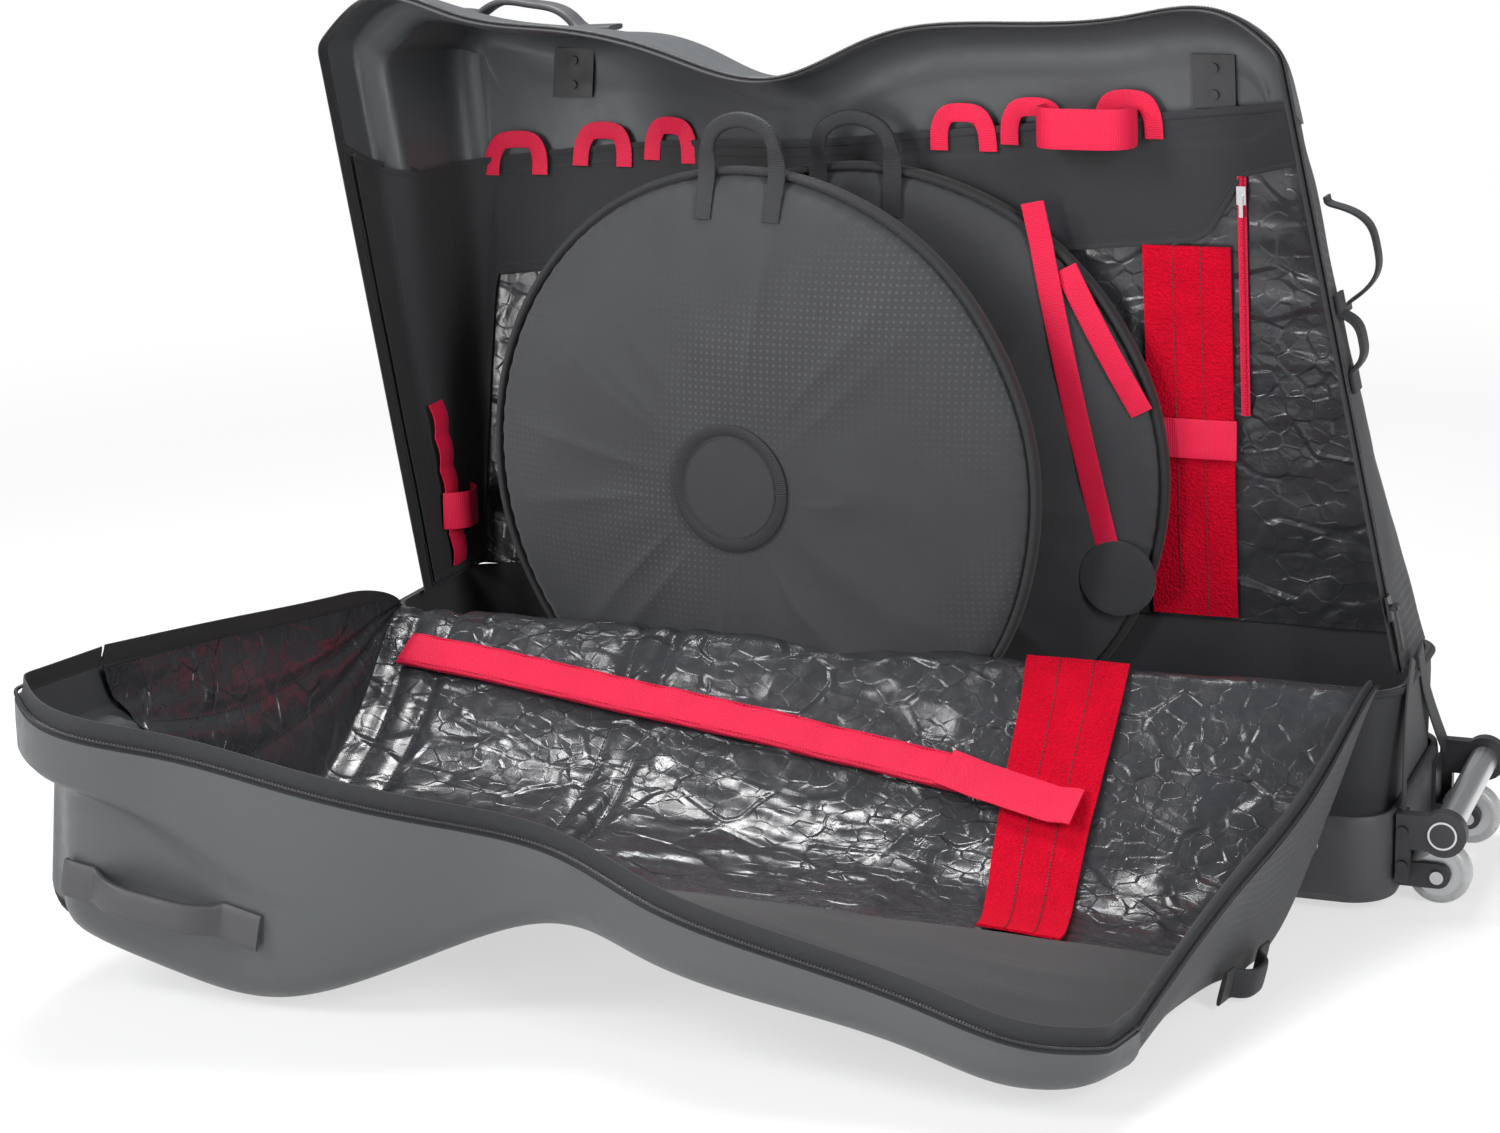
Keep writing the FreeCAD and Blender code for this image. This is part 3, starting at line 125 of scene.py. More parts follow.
# The zips: the inset of the tapes' seats, the coil's depth behind the rim, its steps along and to a turn, its
# radius and its bumps, and the lift and inset of each row of the lid's side bands
ZIP_SEAT, COIL_DEPTH = 0.0012, 0.0085
COIL_STEP, STEPS_PER_TURN, COIL_RADIUS, COIL_BUMP = 0.0011, 3, 0.0019, 0.0004
SIDE_BAND = ((-0.003, 0.0008), (0.0045, 0.0052), (0.01, 0.0072), (0.017, 0.0081), (0.0235, 0.0084))

# Directions, as the case stands
FRONT, REAR, RIGHT = (0.0, -1.0, 0.0), (0.0, 1.0, 0.0), (1.0, 0.0, 0.0)
UP, DOWN = (0.0, 0.0, 1.0), (0.0, 0.0, -1.0)
ORIGIN = (0.0, 0.0, 0.0)

# Thicknesses of the sewn and moulded sheets, and the reach within which points of a mesh are merged
LINING_THICK, FLAP_THICK, BAND_THICK, LOOP_THICK = 0.0008, 0.001, 0.0012, 0.0026
TUB_THICK, BOOT_THICK = 0.005, 0.007
MERGE_REACH = 2e-5

# A length too small to divide by, and how far before and after a stitch its direction is read
TINY = 1e-9
STITCH_PROBES = (-0.001, 0.001)

# Sides and squareness of the sections of bound edges, round rods, zip coils and the bags' closed edges
BOUND_SECTION, ROD_SECTION, COIL_SECTION = (8, 3.0), (8, 2.0), (6, 2.0)
BAG_EDGE_SECTION = (10, 3.0, True)

# Angles, in degrees, past which an edge stays sharp
SHEET_CREASE, PAD_CREASE, HANDLE_CREASE, WEB_CREASE = 60.0, 50.0, 45.0, 35.0

# The tub: levels of its rows above its foot, its front wall's top, the bend of its corners in plan, how far
# it draws in at its foot and up to what rise, and the radius of its piping
TUB_LEVELS = (0.0, 0.004, 0.012, 0.024, 0.05, 0.08, 0.11, 0.14, 0.165, 0.18)
TUB_FRONT_Y, TUB_FRONT_RISE, TUB_BEND = -0.07, 0.185, 0.045
TUB_TUCK, TUB_TUCK_RISE, PIPE_RADIUS = 0.02, 0.03, 0.0032

# The boot: shares of its height, the top of its low ends, and the bend of its corners in plan
BOOT_SHARES = (0.0, 0.04, 0.12, 0.3, 0.5, 0.7, 0.86, 0.95, 1.0)
BOOT_LOW_TOP, BOOT_BEND = 0.055, 0.05

# The far bracket's strap, down the roller end
BRACKET_STRAP = ((0.589, 0.02, 0.235), (0.5905, 0.055, 0.18), (0.598, 0.1, 0.12), (0.602, 0.116, 0.098))

# The wheel bags: place of the middle, and the lean in degrees about an axis
BAG_PLACES = {"front": ((-0.141, -0.014, 0.3829), -7.0, "Z"), "rear": ((-0.040, 0.084, 0.3819), 4.4, "X")}

# The frame straps' ends in shares of the rear bag's radius, and the round pad's section from front to back
FRAME_STRAPS = (((0.6, 0.92), (0.85, -0.32)), ((0.705, 0.71), (0.95, 0.24)))
PAD_SHARES = (0.0, 0.2, 0.4, 0.6, 0.8, 0.93, 0.985, 1.0, 1.0, 0.98, 0.9, 0.5, 0.0)
PAD_RISES = (0.0046, 0.0045, 0.0044, 0.0042, 0.004, 0.0038, 0.0032, 0.0016,
             -0.0016, -0.0032, -0.0038, -0.004, -0.004)

# The two sides of the lid's loop panel at three rows, in shares of the floor
LID_LOOP_SHARES = ((0.672, 0.7, 0.755), (0.772, 0.79, 0.838))

# The direction off the lid's floor in which its webbing faces
LID_LIFT = (0.0, -0.55, 0.8)

# Width and thickness of each kind of webbing, and the gaps of the red pieces in front of the back half's face
WEBBING = {"bracket": (0.024, 0.0025), "tab": (0.02, 0.0024), "end_strap": (0.044, 0.003),
           "chain": (0.032, 0.002), "chain_loop": (0.044, 0.0024), "lid_strap": (0.046, 0.003)}
LOOP_GAP, LOOP_THREAD_GAP, POCKET_GAP, TAB_GAP = 0.0145, 0.0148, 0.0115, 0.0138

# Half of a bag's webbing handle, from its foot to its top: places across, and above the bag's edge
BAG_HANDLE = ((0.042, -0.046), (0.0425, -0.02), (0.043, 0.006), (0.041, 0.03), (0.03, 0.05), (0.0, 0.06))

# The handles: length, rise and foot of the strap, then half its width and half its thickness
STRAP_SHAPE, STRAP_SECTION = (0.21, 0.026, 0.044), (0.019, 0.0042)
WRAP_SHAPE, WRAP_SECTION = (0.104, 0.016, 0.022), (0.018, 0.003)
LOOP_SHAPE, LOOP_SECTION = (0.122, 0.042, 0.008), (0.0145, 0.0022)

# The handles' places: along the case, or in points of the rim up the slim end, and the depth behind the rim
STRAP_X, STRAP_DEPTH = -0.478, 0.17
WRAP_STEP, WRAP_DEPTH = 199, 0.036
LOOP_STEP, LOOP_DEPTH = 249, 0.072

# The lamps: place, width and height, and power. All look at one place, and the world adds a little light
LAMPS = {
    "key": ((-2.2, -2.4, 2.4), (0.8, 1.8), 80.0),
    "fill": ((2.6, -2.0, 1.8), (0.8, 1.8), 62.0),
    "top": ((-0.45, 0.5, 2.7), (1.6, 0.6), 85.0),
    "front": ((-1.2, -3.8, 0.9), (0.5, 1.6), 45.0),
}
LAMP_AIM = (0.0, -0.1, 0.35)
WORLD_TINT, WORLD_LEVEL = (0.95, 0.97, 1.0, 1.0), 0.26

# How far the floor reaches, and how far the lid's panel stays above it
FLOOR_REACH, FLOOR_GAP = 40.0, 0.0008

# The camera: its angles in degrees, its distance and the place that it looks at
CAMERA_AZIMUTH, CAMERA_ELEVATION, CAMERA_ROLL = 20.188, 15.737, -1.212
CAMERA_DISTANCE, CAMERA_TARGET = 3.4, (0.0139, 0.0, 0.2587)
SENSOR_WIDTH = 36.0


def length(name, description, default):
    return FloatProperty(name=name, description=description, default=default, unit="LENGTH", precision=4)


def angle(name, description, degrees):
    return FloatProperty(name=name, description=description, default=math.radians(degrees), unit="ROTATION")


def colour(name, description, default):
    return FloatVectorProperty(name=name, description=description, default=default, subtype="COLOR",
                               size=3, min=0.0, max=1.0)


class CaseSizes(PropertyGroup):
    """Sizes of the case that a user would change"""

    zip_half: length("Zip half", "Half the distance between the two zip ends", 0.575)
    zip_level: length("Zip level", "Height of the zip ends above the floor", 0.212)
    rim_height: length("Rim height", "Rise of the rim above the zip ends", 0.678)
    top_left: length("Top left", "Reach of the rim's top to the hump end", 0.668)
    top_right: length("Top right", "Reach of the rim's top to the roller end", 0.438)
    base_depth: length("Base depth", "Half depth of the case at the zip ends", 0.145)
    hump_depth: length("Hump depth", "Half depth of the case at the hump", 0.262)
    slim_depth: length("Slim depth", "Half depth of the case at the slim end", 0.062)
    shell_round: length("Shell round", "Outside radius between a wall and the face", 0.036)
    shell_wall: length("Shell wall", "Wall of the hard shell", 0.0045)
    rim_start: length("Rim start", "Distance of the shell's edge from the middle of the zip", 0.015)
    split_left: length("Split left", "Rise of the hard shell's edge at the hump end", 0.515)
    split_right: length("Split right", "Rise of the hard shell's edge at the slim end", 0.583)
    split_fall: angle("Split fall", "Fall of the hard shell's edge with depth", 27.0)
    top_draft: angle("Top draft", "Draft of the top wall", 6.0)
    end_draft: angle("End draft", "Draft of the hump end wall", 4.0)
    lip_depth: length("Lip depth", "Depth of the upper lip at the hump end", 0.062)
    lip_step: length("Lip step", "How far the wall under the lip steps in", 0.03)
    flap_left: length("Flap left", "Rise of the flap's top edge at the hump end", 0.467)
    flap_right: length("Flap right", "Rise of the flap's top edge at the slim end", 0.581)
    flap_height: length("Flap height", "Height of the matte flap above the lining", 0.132)
    lid_yaw: angle("Lid yaw", "Turn of the lid's fold line about the vertical", 7.6)
    lid_pitch: angle("Lid pitch", "Fall of the lid's fold line to the rollers", 5.2)
    lid_swing: angle("Lid swing", "Swing of the lid from shut to laid open", 90.0)
    fold_front: length("Fold front", "Distance of the fold line in front of the rim", 0.008)
    fold_level: length("Fold level", "Height of the fold line above the floor", 0.157)
    tub_flare: length("Tub flare", "How far the tub stands out past the zip ends", 0.012)
    panel_thick: length("Panel", "Thickness of the padded outer panels", 0.0045)
    lining_gap: length("Lining gap", "Distance of a lining inside the outer face", 0.0062)
    bag_radius: length("Bag radius", "Radius of a wheel bag", 0.333)
    bag_edge: length("Bag edge", "Half thickness of a wheel bag at its edge", 0.009)
    front_dome: length("Front dome", "Rise of the front wheel bag over its hub", 0.052)
    flat_dome: length("Flat dome", "Rise of a wheel bag on its flat side", 0.022)
    hub_radius: length("Hub patch", "Radius of a wheel bag's hub patch", 0.068)


class CaseColours(PropertyGroup):
    """Colours of the case that a user would change"""

    shell: colour("Shell", "Graphite of the moulded shell", (0.069, 0.074, 0.078))
    cloth: colour("Cloth", "Black of the woven cloth", (0.036, 0.037, 0.040))
    lining: colour("Lining", "Grey black of the coated lining", (0.034, 0.035, 0.039))
    red_web: colour("Red webbing", "Red of the straps", (0.76, 0.012, 0.062))
    red_loop: colour("Red loop tape", "Red of the loop tape", (0.66, 0.003, 0.024))
    plastic: colour("Plastic", "Black of the moulded fittings", (0.026, 0.026, 0.029))
    floor: colour("Floor", "Pale studio floor", (0.86, 0.86, 0.86))


def size(name):
    return getattr(bpy.context.scene.case_sizes, name)


def tone(name, gain=1.0):
    return tuple(min(1.0, part * gain) for part in getattr(bpy.context.scene.case_colours, name)) + (1.0,)


# Numbers and curves

def spline(knots, values, places):
    """A natural cubic curve through the values at the knots, read at the places."""
    knots, values = np.asarray(knots, float), np.asarray(values, float)
    places = np.asarray(places, float)
    steps = np.diff(knots)
    system = np.eye(len(knots))
    pull = np.zeros_like(values)
    for row in range(1, len(knots) - 1):
        system[row, row - 1:row + 2] = steps[row - 1], 2 * (steps[row - 1] + steps[row]), steps[row]
        pull[row] = 6 * ((values[row + 1] - values[row]) / steps[row]
                         - (values[row] - values[row - 1]) / steps[row - 1])
    bends = np.linalg.solve(system, pull.reshape(len(knots), -1)).reshape(values.shape)
    span = np.clip(np.searchsorted(knots, places, side="right") - 1, 0, len(steps) - 1)
    step = steps[span]
    after = (places - knots[span]) / step
    before = 1 - after
    trail = (Ellipsis,) + (None,) * (values.ndim - 1)
    curve = (before ** 3 - before) * step ** 2 / 6
    swing = (after ** 3 - after) * step ** 2 / 6
    return (before[trail] * values[span] + after[trail] * values[span + 1]
            + curve[trail] * bends[span] + swing[trail] * bends[span + 1])


def curve_through(points, count):
    """A smooth line through points that count as evenly spaced."""
    return spline(np.linspace(0, 1, len(points)), points, np.linspace(0, 1, count))


def around(radius, turn):
    """x and z of places on a circle."""
    return radius * np.cos(turn), radius * np.sin(turn)


def eased(share):
    """A share from 0 to 1 with soft ends."""
    share = np.clip(share, 0.0, 1.0)
    return share * share * (3 - 2 * share)


def mixed(first, second, share):
    return first + (second - first) * share


def run_lengths(line):
    """Lengths along a line, or along each column of a grid, up to each of its points."""
    steps = np.linalg.norm(np.diff(line, axis=0), axis=-1)
    return np.concatenate([np.zeros((1,) + steps.shape[1:]), np.cumsum(steps, axis=0)])


def read_along(line, run, places):
    """Points of a line at places along its run."""
    return np.stack([np.interp(places, run, column) for column in line.T], -1)


def evened(line, count):
    """The same line with its points evenly spaced."""
    run = run_lengths(line)
    return read_along(line, run, np.linspace(0, run[-1], count))


def rounded(line, reach):
    """A line of points with its corners rounded over reach points to each side, and its ends kept."""
    kernel = np.hanning(2 * reach + 3)[1:-1]
    kernel /= kernel.sum()
    head = 2 * line[0] - line[reach:0:-1]
    tail = 2 * line[-1] - line[-2:-reach - 2:-1]
    longer = np.concatenate([head, line, tail])
    return np.stack([np.convolve(column, kernel, "valid") for column in longer.T], -1)


def lattice(cells, seed):
    """Repeatable values from 0 to 1 at whole-number places."""
    mask = 0xFFFFFFFF
    value = (cells[..., 0] * 73856093) ^ (cells[..., 1] * 19349663) ^ (cells[..., 2] * 83492791)
    value = (value ^ (seed * 40503)) & mask
    value = ((value ^ (value >> 15)) * 2246822519) & mask
    value = ((value ^ (value >> 13)) * 3266489917) & mask
    return ((value ^ (value >> 16)) & 0xFFFF) / 0xFFFF


def rumple(points, grain, seed):
    """Smooth noise from -1 to 1 whose features are grain metres across."""
    scaled = np.asarray(points, float) / grain
    cells = np.floor(scaled).astype(np.int64)
    share = eased(scaled - cells)
    total = 0.0
    for corner in np.ndindex(2, 2, 2):
        weight = np.prod(np.where(np.array(corner) == 1, share, 1 - share), axis=-1)
        total = total + weight * lattice(cells + np.array(corner), seed)
    return 2 * total - 1


def creases(points, grain, seed):
    """Sharp ridges from 0 to 1 along lines about grain metres apart."""
    return (1 - np.abs(rumple(points, grain, seed))) ** 3


def normals_of(points):
    """Unit normals of a grid of points."""
    normal = np.cross(np.gradient(points, axis=0), np.gradient(points, axis=1))
    return normal / np.maximum(np.linalg.norm(normal, axis=-1, keepdims=True), TINY)


def normals_towards(points, towards):
    """Unit normals of a grid of points, on the side that looks along towards."""
    normal = normals_of(points)
    return -normal if np.sum(normal @ np.array(towards)) < 0 else normal


def shifted(points, distance, towards):
    """A grid of points moved along its normals, to the side that looks along towards."""
    return points + normals_towards(points, towards) * np.broadcast_to(distance, points.shape[:2])[..., None]


def picked(points, row, column):
    """Points of a grid at shares of its rows and columns, between its own points."""
    row = np.clip(np.asarray(row, float), 0, 1) * (points.shape[0] - 1.0001)
    column = np.clip(np.asarray(column, float), 0, 1) * (points.shape[1] - 1.0001)
    i, j = row.astype(int), column.astype(int)
    a, b = (row - i)[..., None], (column - j)[..., None]
    return ((points[i, j] * (1 - a) + points[i + 1, j] * a) * (1 - b)
            + (points[i, j + 1] * (1 - a) + points[i + 1, j + 1] * a) * b)


# Meshes

def choose(piece):
    """Makes a piece the active one and the only one selected."""
    bpy.ops.object.select_all(action="DESELECT")
    piece.select_set(True)
    bpy.context.view_layer.objects.active = piece


def edit(piece, *steps):
    """Runs mesh operators on the whole of a piece in edit mode."""
    choose(piece)
    bpy.ops.object.mode_set(mode="EDIT")
    bpy.ops.mesh.select_all(action="SELECT")
    for operator, settings in steps:
        operator(**settings)
    bpy.ops.object.mode_set(mode="OBJECT")


def apply(piece, kind, **settings):
    """Adds a modifier to a piece, sets it and applies it."""
    choose(piece)
    bpy.ops.object.modifier_add(type=kind)
    modifier = piece.modifiers[-1]
    for key, value in settings.items():
        setattr(modifier, key, value)
    bpy.ops.object.modifier_apply(modifier=modifier.name)


def face_outwards(piece):
    """Turns the faces of a closed piece outwards."""
    edit(piece, (bpy.ops.mesh.normals_make_consistent, {"inside": False}))
    return piece


def sheet_piece(name, points, outward=None, chart=None):
    """A piece from a grid of points, with UVs in metres, whose faces look along outward."""
    rows, columns = points.shape[:2]
    bpy.ops.object.select_all(action="DESELECT")
    bpy.ops.mesh.primitive_grid_add(x_subdivisions=columns - 1, y_subdivisions=rows - 1, size=2)
    piece = bpy.context.object
    piece.name = piece.data.name = name
    mesh = piece.data
    flat = np.empty(3 * len(mesh.vertices))
    mesh.vertices.foreach_get("co", flat)
    flat = flat.reshape(-1, 3)
    column = np.rint((flat[:, 0] + 1) / 2 * (columns - 1)).astype(int)
    row = np.rint((flat[:, 1] + 1) / 2 * (rows - 1)).astype(int)
    mesh.vertices.foreach_set("co", points[row, column].ravel())
    if chart is None:
        across = run_lengths(points.transpose(1, 0, 2)).T
        along = run_lengths(points).mean(axis=1)
        across = across - across.mean(axis=1, keepdims=True)
        chart = np.stack([across, np.repeat(along[:, None], columns, 1)], -1)
    corners = np.empty(len(mesh.loops), int)
    mesh.loops.foreach_get("vertex_index", corners)
    mesh.uv_layers.active.data.foreach_set("uv", chart[row, column][corners].ravel())
    mesh.update()
    edit(piece, (bpy.ops.mesh.remove_doubles, {"threshold": MERGE_REACH}))
    if outward is not None:
        looks = sum((face.normal * face.area for face in mesh.polygons), Vector())
        if looks.dot(Vector(outward)) < 0:
            edit(piece, (bpy.ops.mesh.flip_normals, {}))
    return piece


def thicken(piece, thick, inner=0):
    """Gives a sheet a wall, on the side away from its faces. inner is the second side's material."""
    apply(piece, "SOLIDIFY", thickness=thick, offset=-1.0, material_offset=inner)
    return piece


def swept_piece(name, path, across, lift, half_width, half_thick, sides=12, square=5.0, closed=False):
    """A closed strip or rod along a path, with a rounded section across it."""
    turn = np.linspace(0, 2 * math.pi, sides + 1) + math.pi / sides
    wide = np.sign(np.cos(turn)) * np.abs(np.cos(turn)) ** (2 / square)
    tall = np.sign(np.sin(turn)) * np.abs(np.sin(turn)) ** (2 / square)
    half_width = np.broadcast_to(half_width, (len(path),))
    half_thick = np.broadcast_to(half_thick, (len(path),))
    points = (path[:, None, :]
              + across[:, None, :] * (wide[None, :] * half_width[:, None])[..., None]
              + lift[:, None, :] * (tall[None, :] * half_thick[:, None])[..., None])
    along = run_lengths(path)
    chart = np.stack([wide[None, :] * half_width[:, None], np.repeat(along[:, None], sides + 1, 1)], -1)
    piece = sheet_piece(name, points, chart=chart)
    steps = [] if closed else [(bpy.ops.mesh.fill_holes, {"sides": 0})]
    edit(piece, *steps, (bpy.ops.mesh.normals_make_consistent, {"inside": False}))
    return piece


def framed(path, lift):
    """Directions across a path and away from its seat, square to the path."""
    along = np.gradient(path, axis=0)
    along /= np.maximum(np.linalg.norm(along, axis=1, keepdims=True), TINY)
    lift = np.broadcast_to(np.asarray(lift, float), path.shape)
    lift = lift - along * np.sum(lift * along, axis=1, keepdims=True)
    lift = lift / np.maximum(np.linalg.norm(lift, axis=1, keepdims=True), TINY)
    return np.cross(along, lift), lift


def webbing(name, path, lift, width, thick):
    """A flat strip of webbing whose underside lies on the path."""
    across, lift = framed(path, lift)
    return swept_piece(name, path + lift * thick / 2, across, lift, width / 2, thick / 2)


def strip_piece(name, path, towards, half_width, half_thick, *section_shape):
    """A closed strip or rod along a path, whose flat side looks along towards."""
    across, lift = framed(path, towards)
    return swept_piece(name, path, across, lift, half_width, half_thick, *section_shape)


def stitches(name, lines, pitch=0.0045, length_share=0.62, wide=0.0009, tall=0.0007):
    """Rows of short threads along lines of (points, normals)."""
    corners, faces = [], []
    block = np.array([(a, b, c) for a in (-1, 1) for b in (-1, 1) for c in (-0.4, 1)])
    quads = ((0, 1, 3, 2), (4, 6, 7, 5), (0, 4, 5, 1), (2, 3, 7, 6), (1, 5, 7, 3), (0, 2, 6, 4))
    for line, normal in lines:
        run = run_lengths(line)
        for place in np.arange(pitch, run[-1], pitch):
            before, after = (read_along(line, run, place + step) for step in STITCH_PROBES)
            lift = read_along(normal, run, place)
            along = (after - before) / max(np.linalg.norm(after - before), TINY)
            side = np.cross(lift, along)
            middle = (before + after) / 2
            shape = middle + (block[:, :1] * along * pitch * length_share / 2
                              + block[:, 1:2] * side * wide / 2 + block[:, 2:] * lift * tall)
            faces += [[len(corners) + corner for corner in quad] for quad in quads]
            corners += [tuple(corner) for corner in shape]
    mesh = bpy.data.meshes.new(name)
    mesh.from_pydata(corners, [], faces)
    mesh.uv_layers.new(name="UVMap")
    piece = bpy.data.objects.new(name, mesh)
    bpy.context.scene.collection.objects.link(piece)
    return face_outwards(piece)


def joined(name, pieces):
    """Several pieces made one object."""
    bpy.ops.object.select_all(action="DESELECT")
    for piece in pieces:
        piece.select_set(True)
    bpy.context.view_layer.objects.active = pieces[0]
    if len(pieces) > 1:
        bpy.ops.object.join()
    pieces[0].name = pieces[0].data.name = name
    return pieces[0]


def dress(piece, materials, body=None, replaces=(), crease=WEB_CREASE):
    """Gives a piece its finish, the body that it moves with and the solids that it stands for."""
    choose(piece)
    piece.data.materials.clear()
    for name in materials:
        piece.data.materials.append(finish(name))
    bpy.ops.object.shade_smooth_by_angle(angle=math.radians(crease))
    if replaces:
        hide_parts(*replaces)
    if body:
        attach(piece, body)
    return piece


def cloth_piece(name, points, outward, thick, finishes, body=None, replaces=()):
    """A sheet of cloth with its thickness and finish."""
    piece = thicken(sheet_piece(name, points, outward), thick)
    return dress(piece, finishes, body, replaces, SHEET_CREASE)


def fold_with_lid(*pieces):
    """Bakes the placement of pieces into their meshes."""
    for piece in pieces:
        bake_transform(piece)


# Finishes

class Socket:
    """One output of a shader node. Arithmetic on it adds Math nodes."""

    def __init__(self, paint, output):
        self.paint = paint
        self.output = output

    def math(self, operation, *values):
        return self.paint.node("ShaderNodeMath", {"operation": operation}, values)

    def __add__(self, other):
        return self.math("ADD", self, other)

    def __sub__(self, other):
        return self.math("SUBTRACT", self, other)

    def __rsub__(self, other):
        return self.math("SUBTRACT", other, self)

    def __mul__(self, other):
        return self.math("MULTIPLY", self, other)

    def sine(self):
        return self.math("SINE", self)

    def wrapped(self):
        return self.math("FRACT", self)

    def part(self, axis):
        return self.paint.node("ShaderNodeSeparateXYZ", {}, (self,), axis)

    __radd__ = __add__
    __rmul__ = __mul__


class Paint:
    """A material in the making: one Principled shader and the nodes that feed it."""

    def __init__(self, name, **constants):
        self.material = bpy.data.materials.new(name)
        self.material.use_nodes = True
        self.tree = self.material.node_tree
        self.shader = self.tree.nodes["Principled BSDF"]
        self.feed(**constants)
        self.object = self.node("ShaderNodeTexCoord", output="Object")
        self.uv = self.node("ShaderNodeTexCoord", output="UV")

    def node(self, kind, settings=None, inputs=(), output=0):
        made = self.tree.nodes.new(kind)
        for key, value in (settings or {}).items():
            setattr(made, key, value)
        for key, value in inputs.items() if isinstance(inputs, dict) else enumerate(inputs):
            self.join(value, made.inputs[key])
        return Socket(self, made.outputs[output])

    def join(self, value, socket):
        if isinstance(value, Socket):
            self.tree.links.new(value.output, socket)
        else:
            socket.default_value = value

    def feed(self, **values):
        for key, value in values.items():
            self.join(value, self.shader.inputs[key.replace("_", " ")])

    def vector_math(self, operation, *values, output=0):
        return self.node("ShaderNodeVectorMath", {"operation": operation}, values, output)

    def noise(self, scale, detail=2.0, rough=0.55, place=None):
        return self.node("ShaderNodeTexNoise", {}, {"Vector": place or self.object, "Scale": scale,
                                                    "Detail": detail, "Roughness": rough})

    def cells(self, scale):
        return self.node("ShaderNodeTexVoronoi", {}, {"Vector": self.object, "Scale": scale})

    def facets(self, scale, place=None):
        """The height of a crinkled sheet: flat facets that each lean their own way."""
        place = place or self.object
        middle = self.node("ShaderNodeTexVoronoi", {"feature": "SMOOTH_F1"},
                           {"Vector": place, "Scale": scale, "Smoothness": 0.3}, "Position")
        draw = Socket(self, middle.output.node.outputs["Color"])
        away = self.vector_math("SUBTRACT", place, middle)
        lean = self.vector_math("SUBTRACT", draw, (0.5, 0.5, 0.5))
        return self.vector_math("DOT_PRODUCT", away, lean, output="Value")

    def scaled(self, stretch, place=None, turn=(0.0, 0.0, 0.0)):
        return self.node("ShaderNodeMapping", {}, {"Vector": place or self.object, "Scale": stretch,
                                                   "Rotation": turn})

    def ranged(self, value, low, high, to_low=0.0, to_high=1.0):
        return self.node("ShaderNodeMapRange", {"interpolation_type": "SMOOTHSTEP"},
                         (value, low, high, to_low, to_high))

    def blended(self, factor, first, second):
        return self.node("ShaderNodeMix", {"data_type": "RGBA"}, {0: factor, 6: first, 7: second}, 2)

    def bumped(self, height, distance, strength=1.0):
        return self.node("ShaderNodeBump", {}, {"Height": height, "Distance": distance, "Strength": strength})

    def weave(self, pitch):
        """Over and under threads on the piece's own chart, from 0 to 1."""
        turn = 2 * math.pi / pitch
        return (self.uv.part(0) * turn).sine() * (self.uv.part(1) * turn).sine() * 0.5 + 0.5

    def done(self):
        return self.material


def paint_shell():
    paint = Paint("shell_graphite", IOR=1.48)
    grain = paint.noise(900.0, 3.0)
    cloud = paint.noise(7.0, 3.0)
    scuff = paint.noise(60.0, 6.0, 0.7)
    shade = cloud * 0.5 + grain * 0.5
    paint.feed(Base_Color=paint.blended(shade, tone("shell", 0.84), tone("shell", 1.16)),
               Roughness=paint.ranged(scuff, 0.3, 0.75, 0.36, 0.5),
               Normal=paint.bumped(grain, 0.0005, 0.4))
    return paint.done()


def paint_shell_inside():
    paint = Paint("shell_inside", IOR=1.56, Coat_Weight=0.5, Coat_Roughness=0.06)
    cloud = paint.noise(6.0, 3.0)
    streak = paint.noise(1.0, 3.0, 0.6, paint.scaled((9.0, 60.0, 4.0)))
    paint.feed(Base_Color=paint.blended(cloud, tone("shell", 0.62), tone("shell", 0.9)),
               Roughness=paint.ranged(streak, 0.3, 0.7, 0.07, 0.2),
               Normal=paint.bumped(paint.noise(7.0, 2.0), 0.02, 0.3))
    return paint.done()


def paint_lining():
    paint = Paint("coated_lining", IOR=1.54)
    calm = paint.ranged(paint.noise(5.0, 2.0), 0.36, 0.6)
    drawn = paint.scaled((0.8, 1.35, 1.0), turn=(0.2, 0.1, 0.5))
    height = paint.facets(18.0, drawn) * 0.09 + paint.facets(50.0, drawn) * (0.03 + calm * 0.1)
    height = height + paint.facets(120.0) * (calm * 0.045)
    swell = paint.noise(1.0, 1.0, 0.4, paint.scaled((7.0, 24.0, 18.0), turn=(0.1, 0.0, 0.25)))
    height = height + swell * 0.006
    thread = paint.weave(0.0034)
    paint.feed(Base_Color=paint.blended(paint.noise(12.0, 4.0), tone("lining", 0.8), tone("lining", 1.4)),
               Roughness=paint.ranged(paint.noise(60.0, 4.0), 0.3, 0.7, 0.19, 0.32),
               Normal=paint.bumped(height + thread * 0.00003, 1.0, 1.0))
    return paint.done()


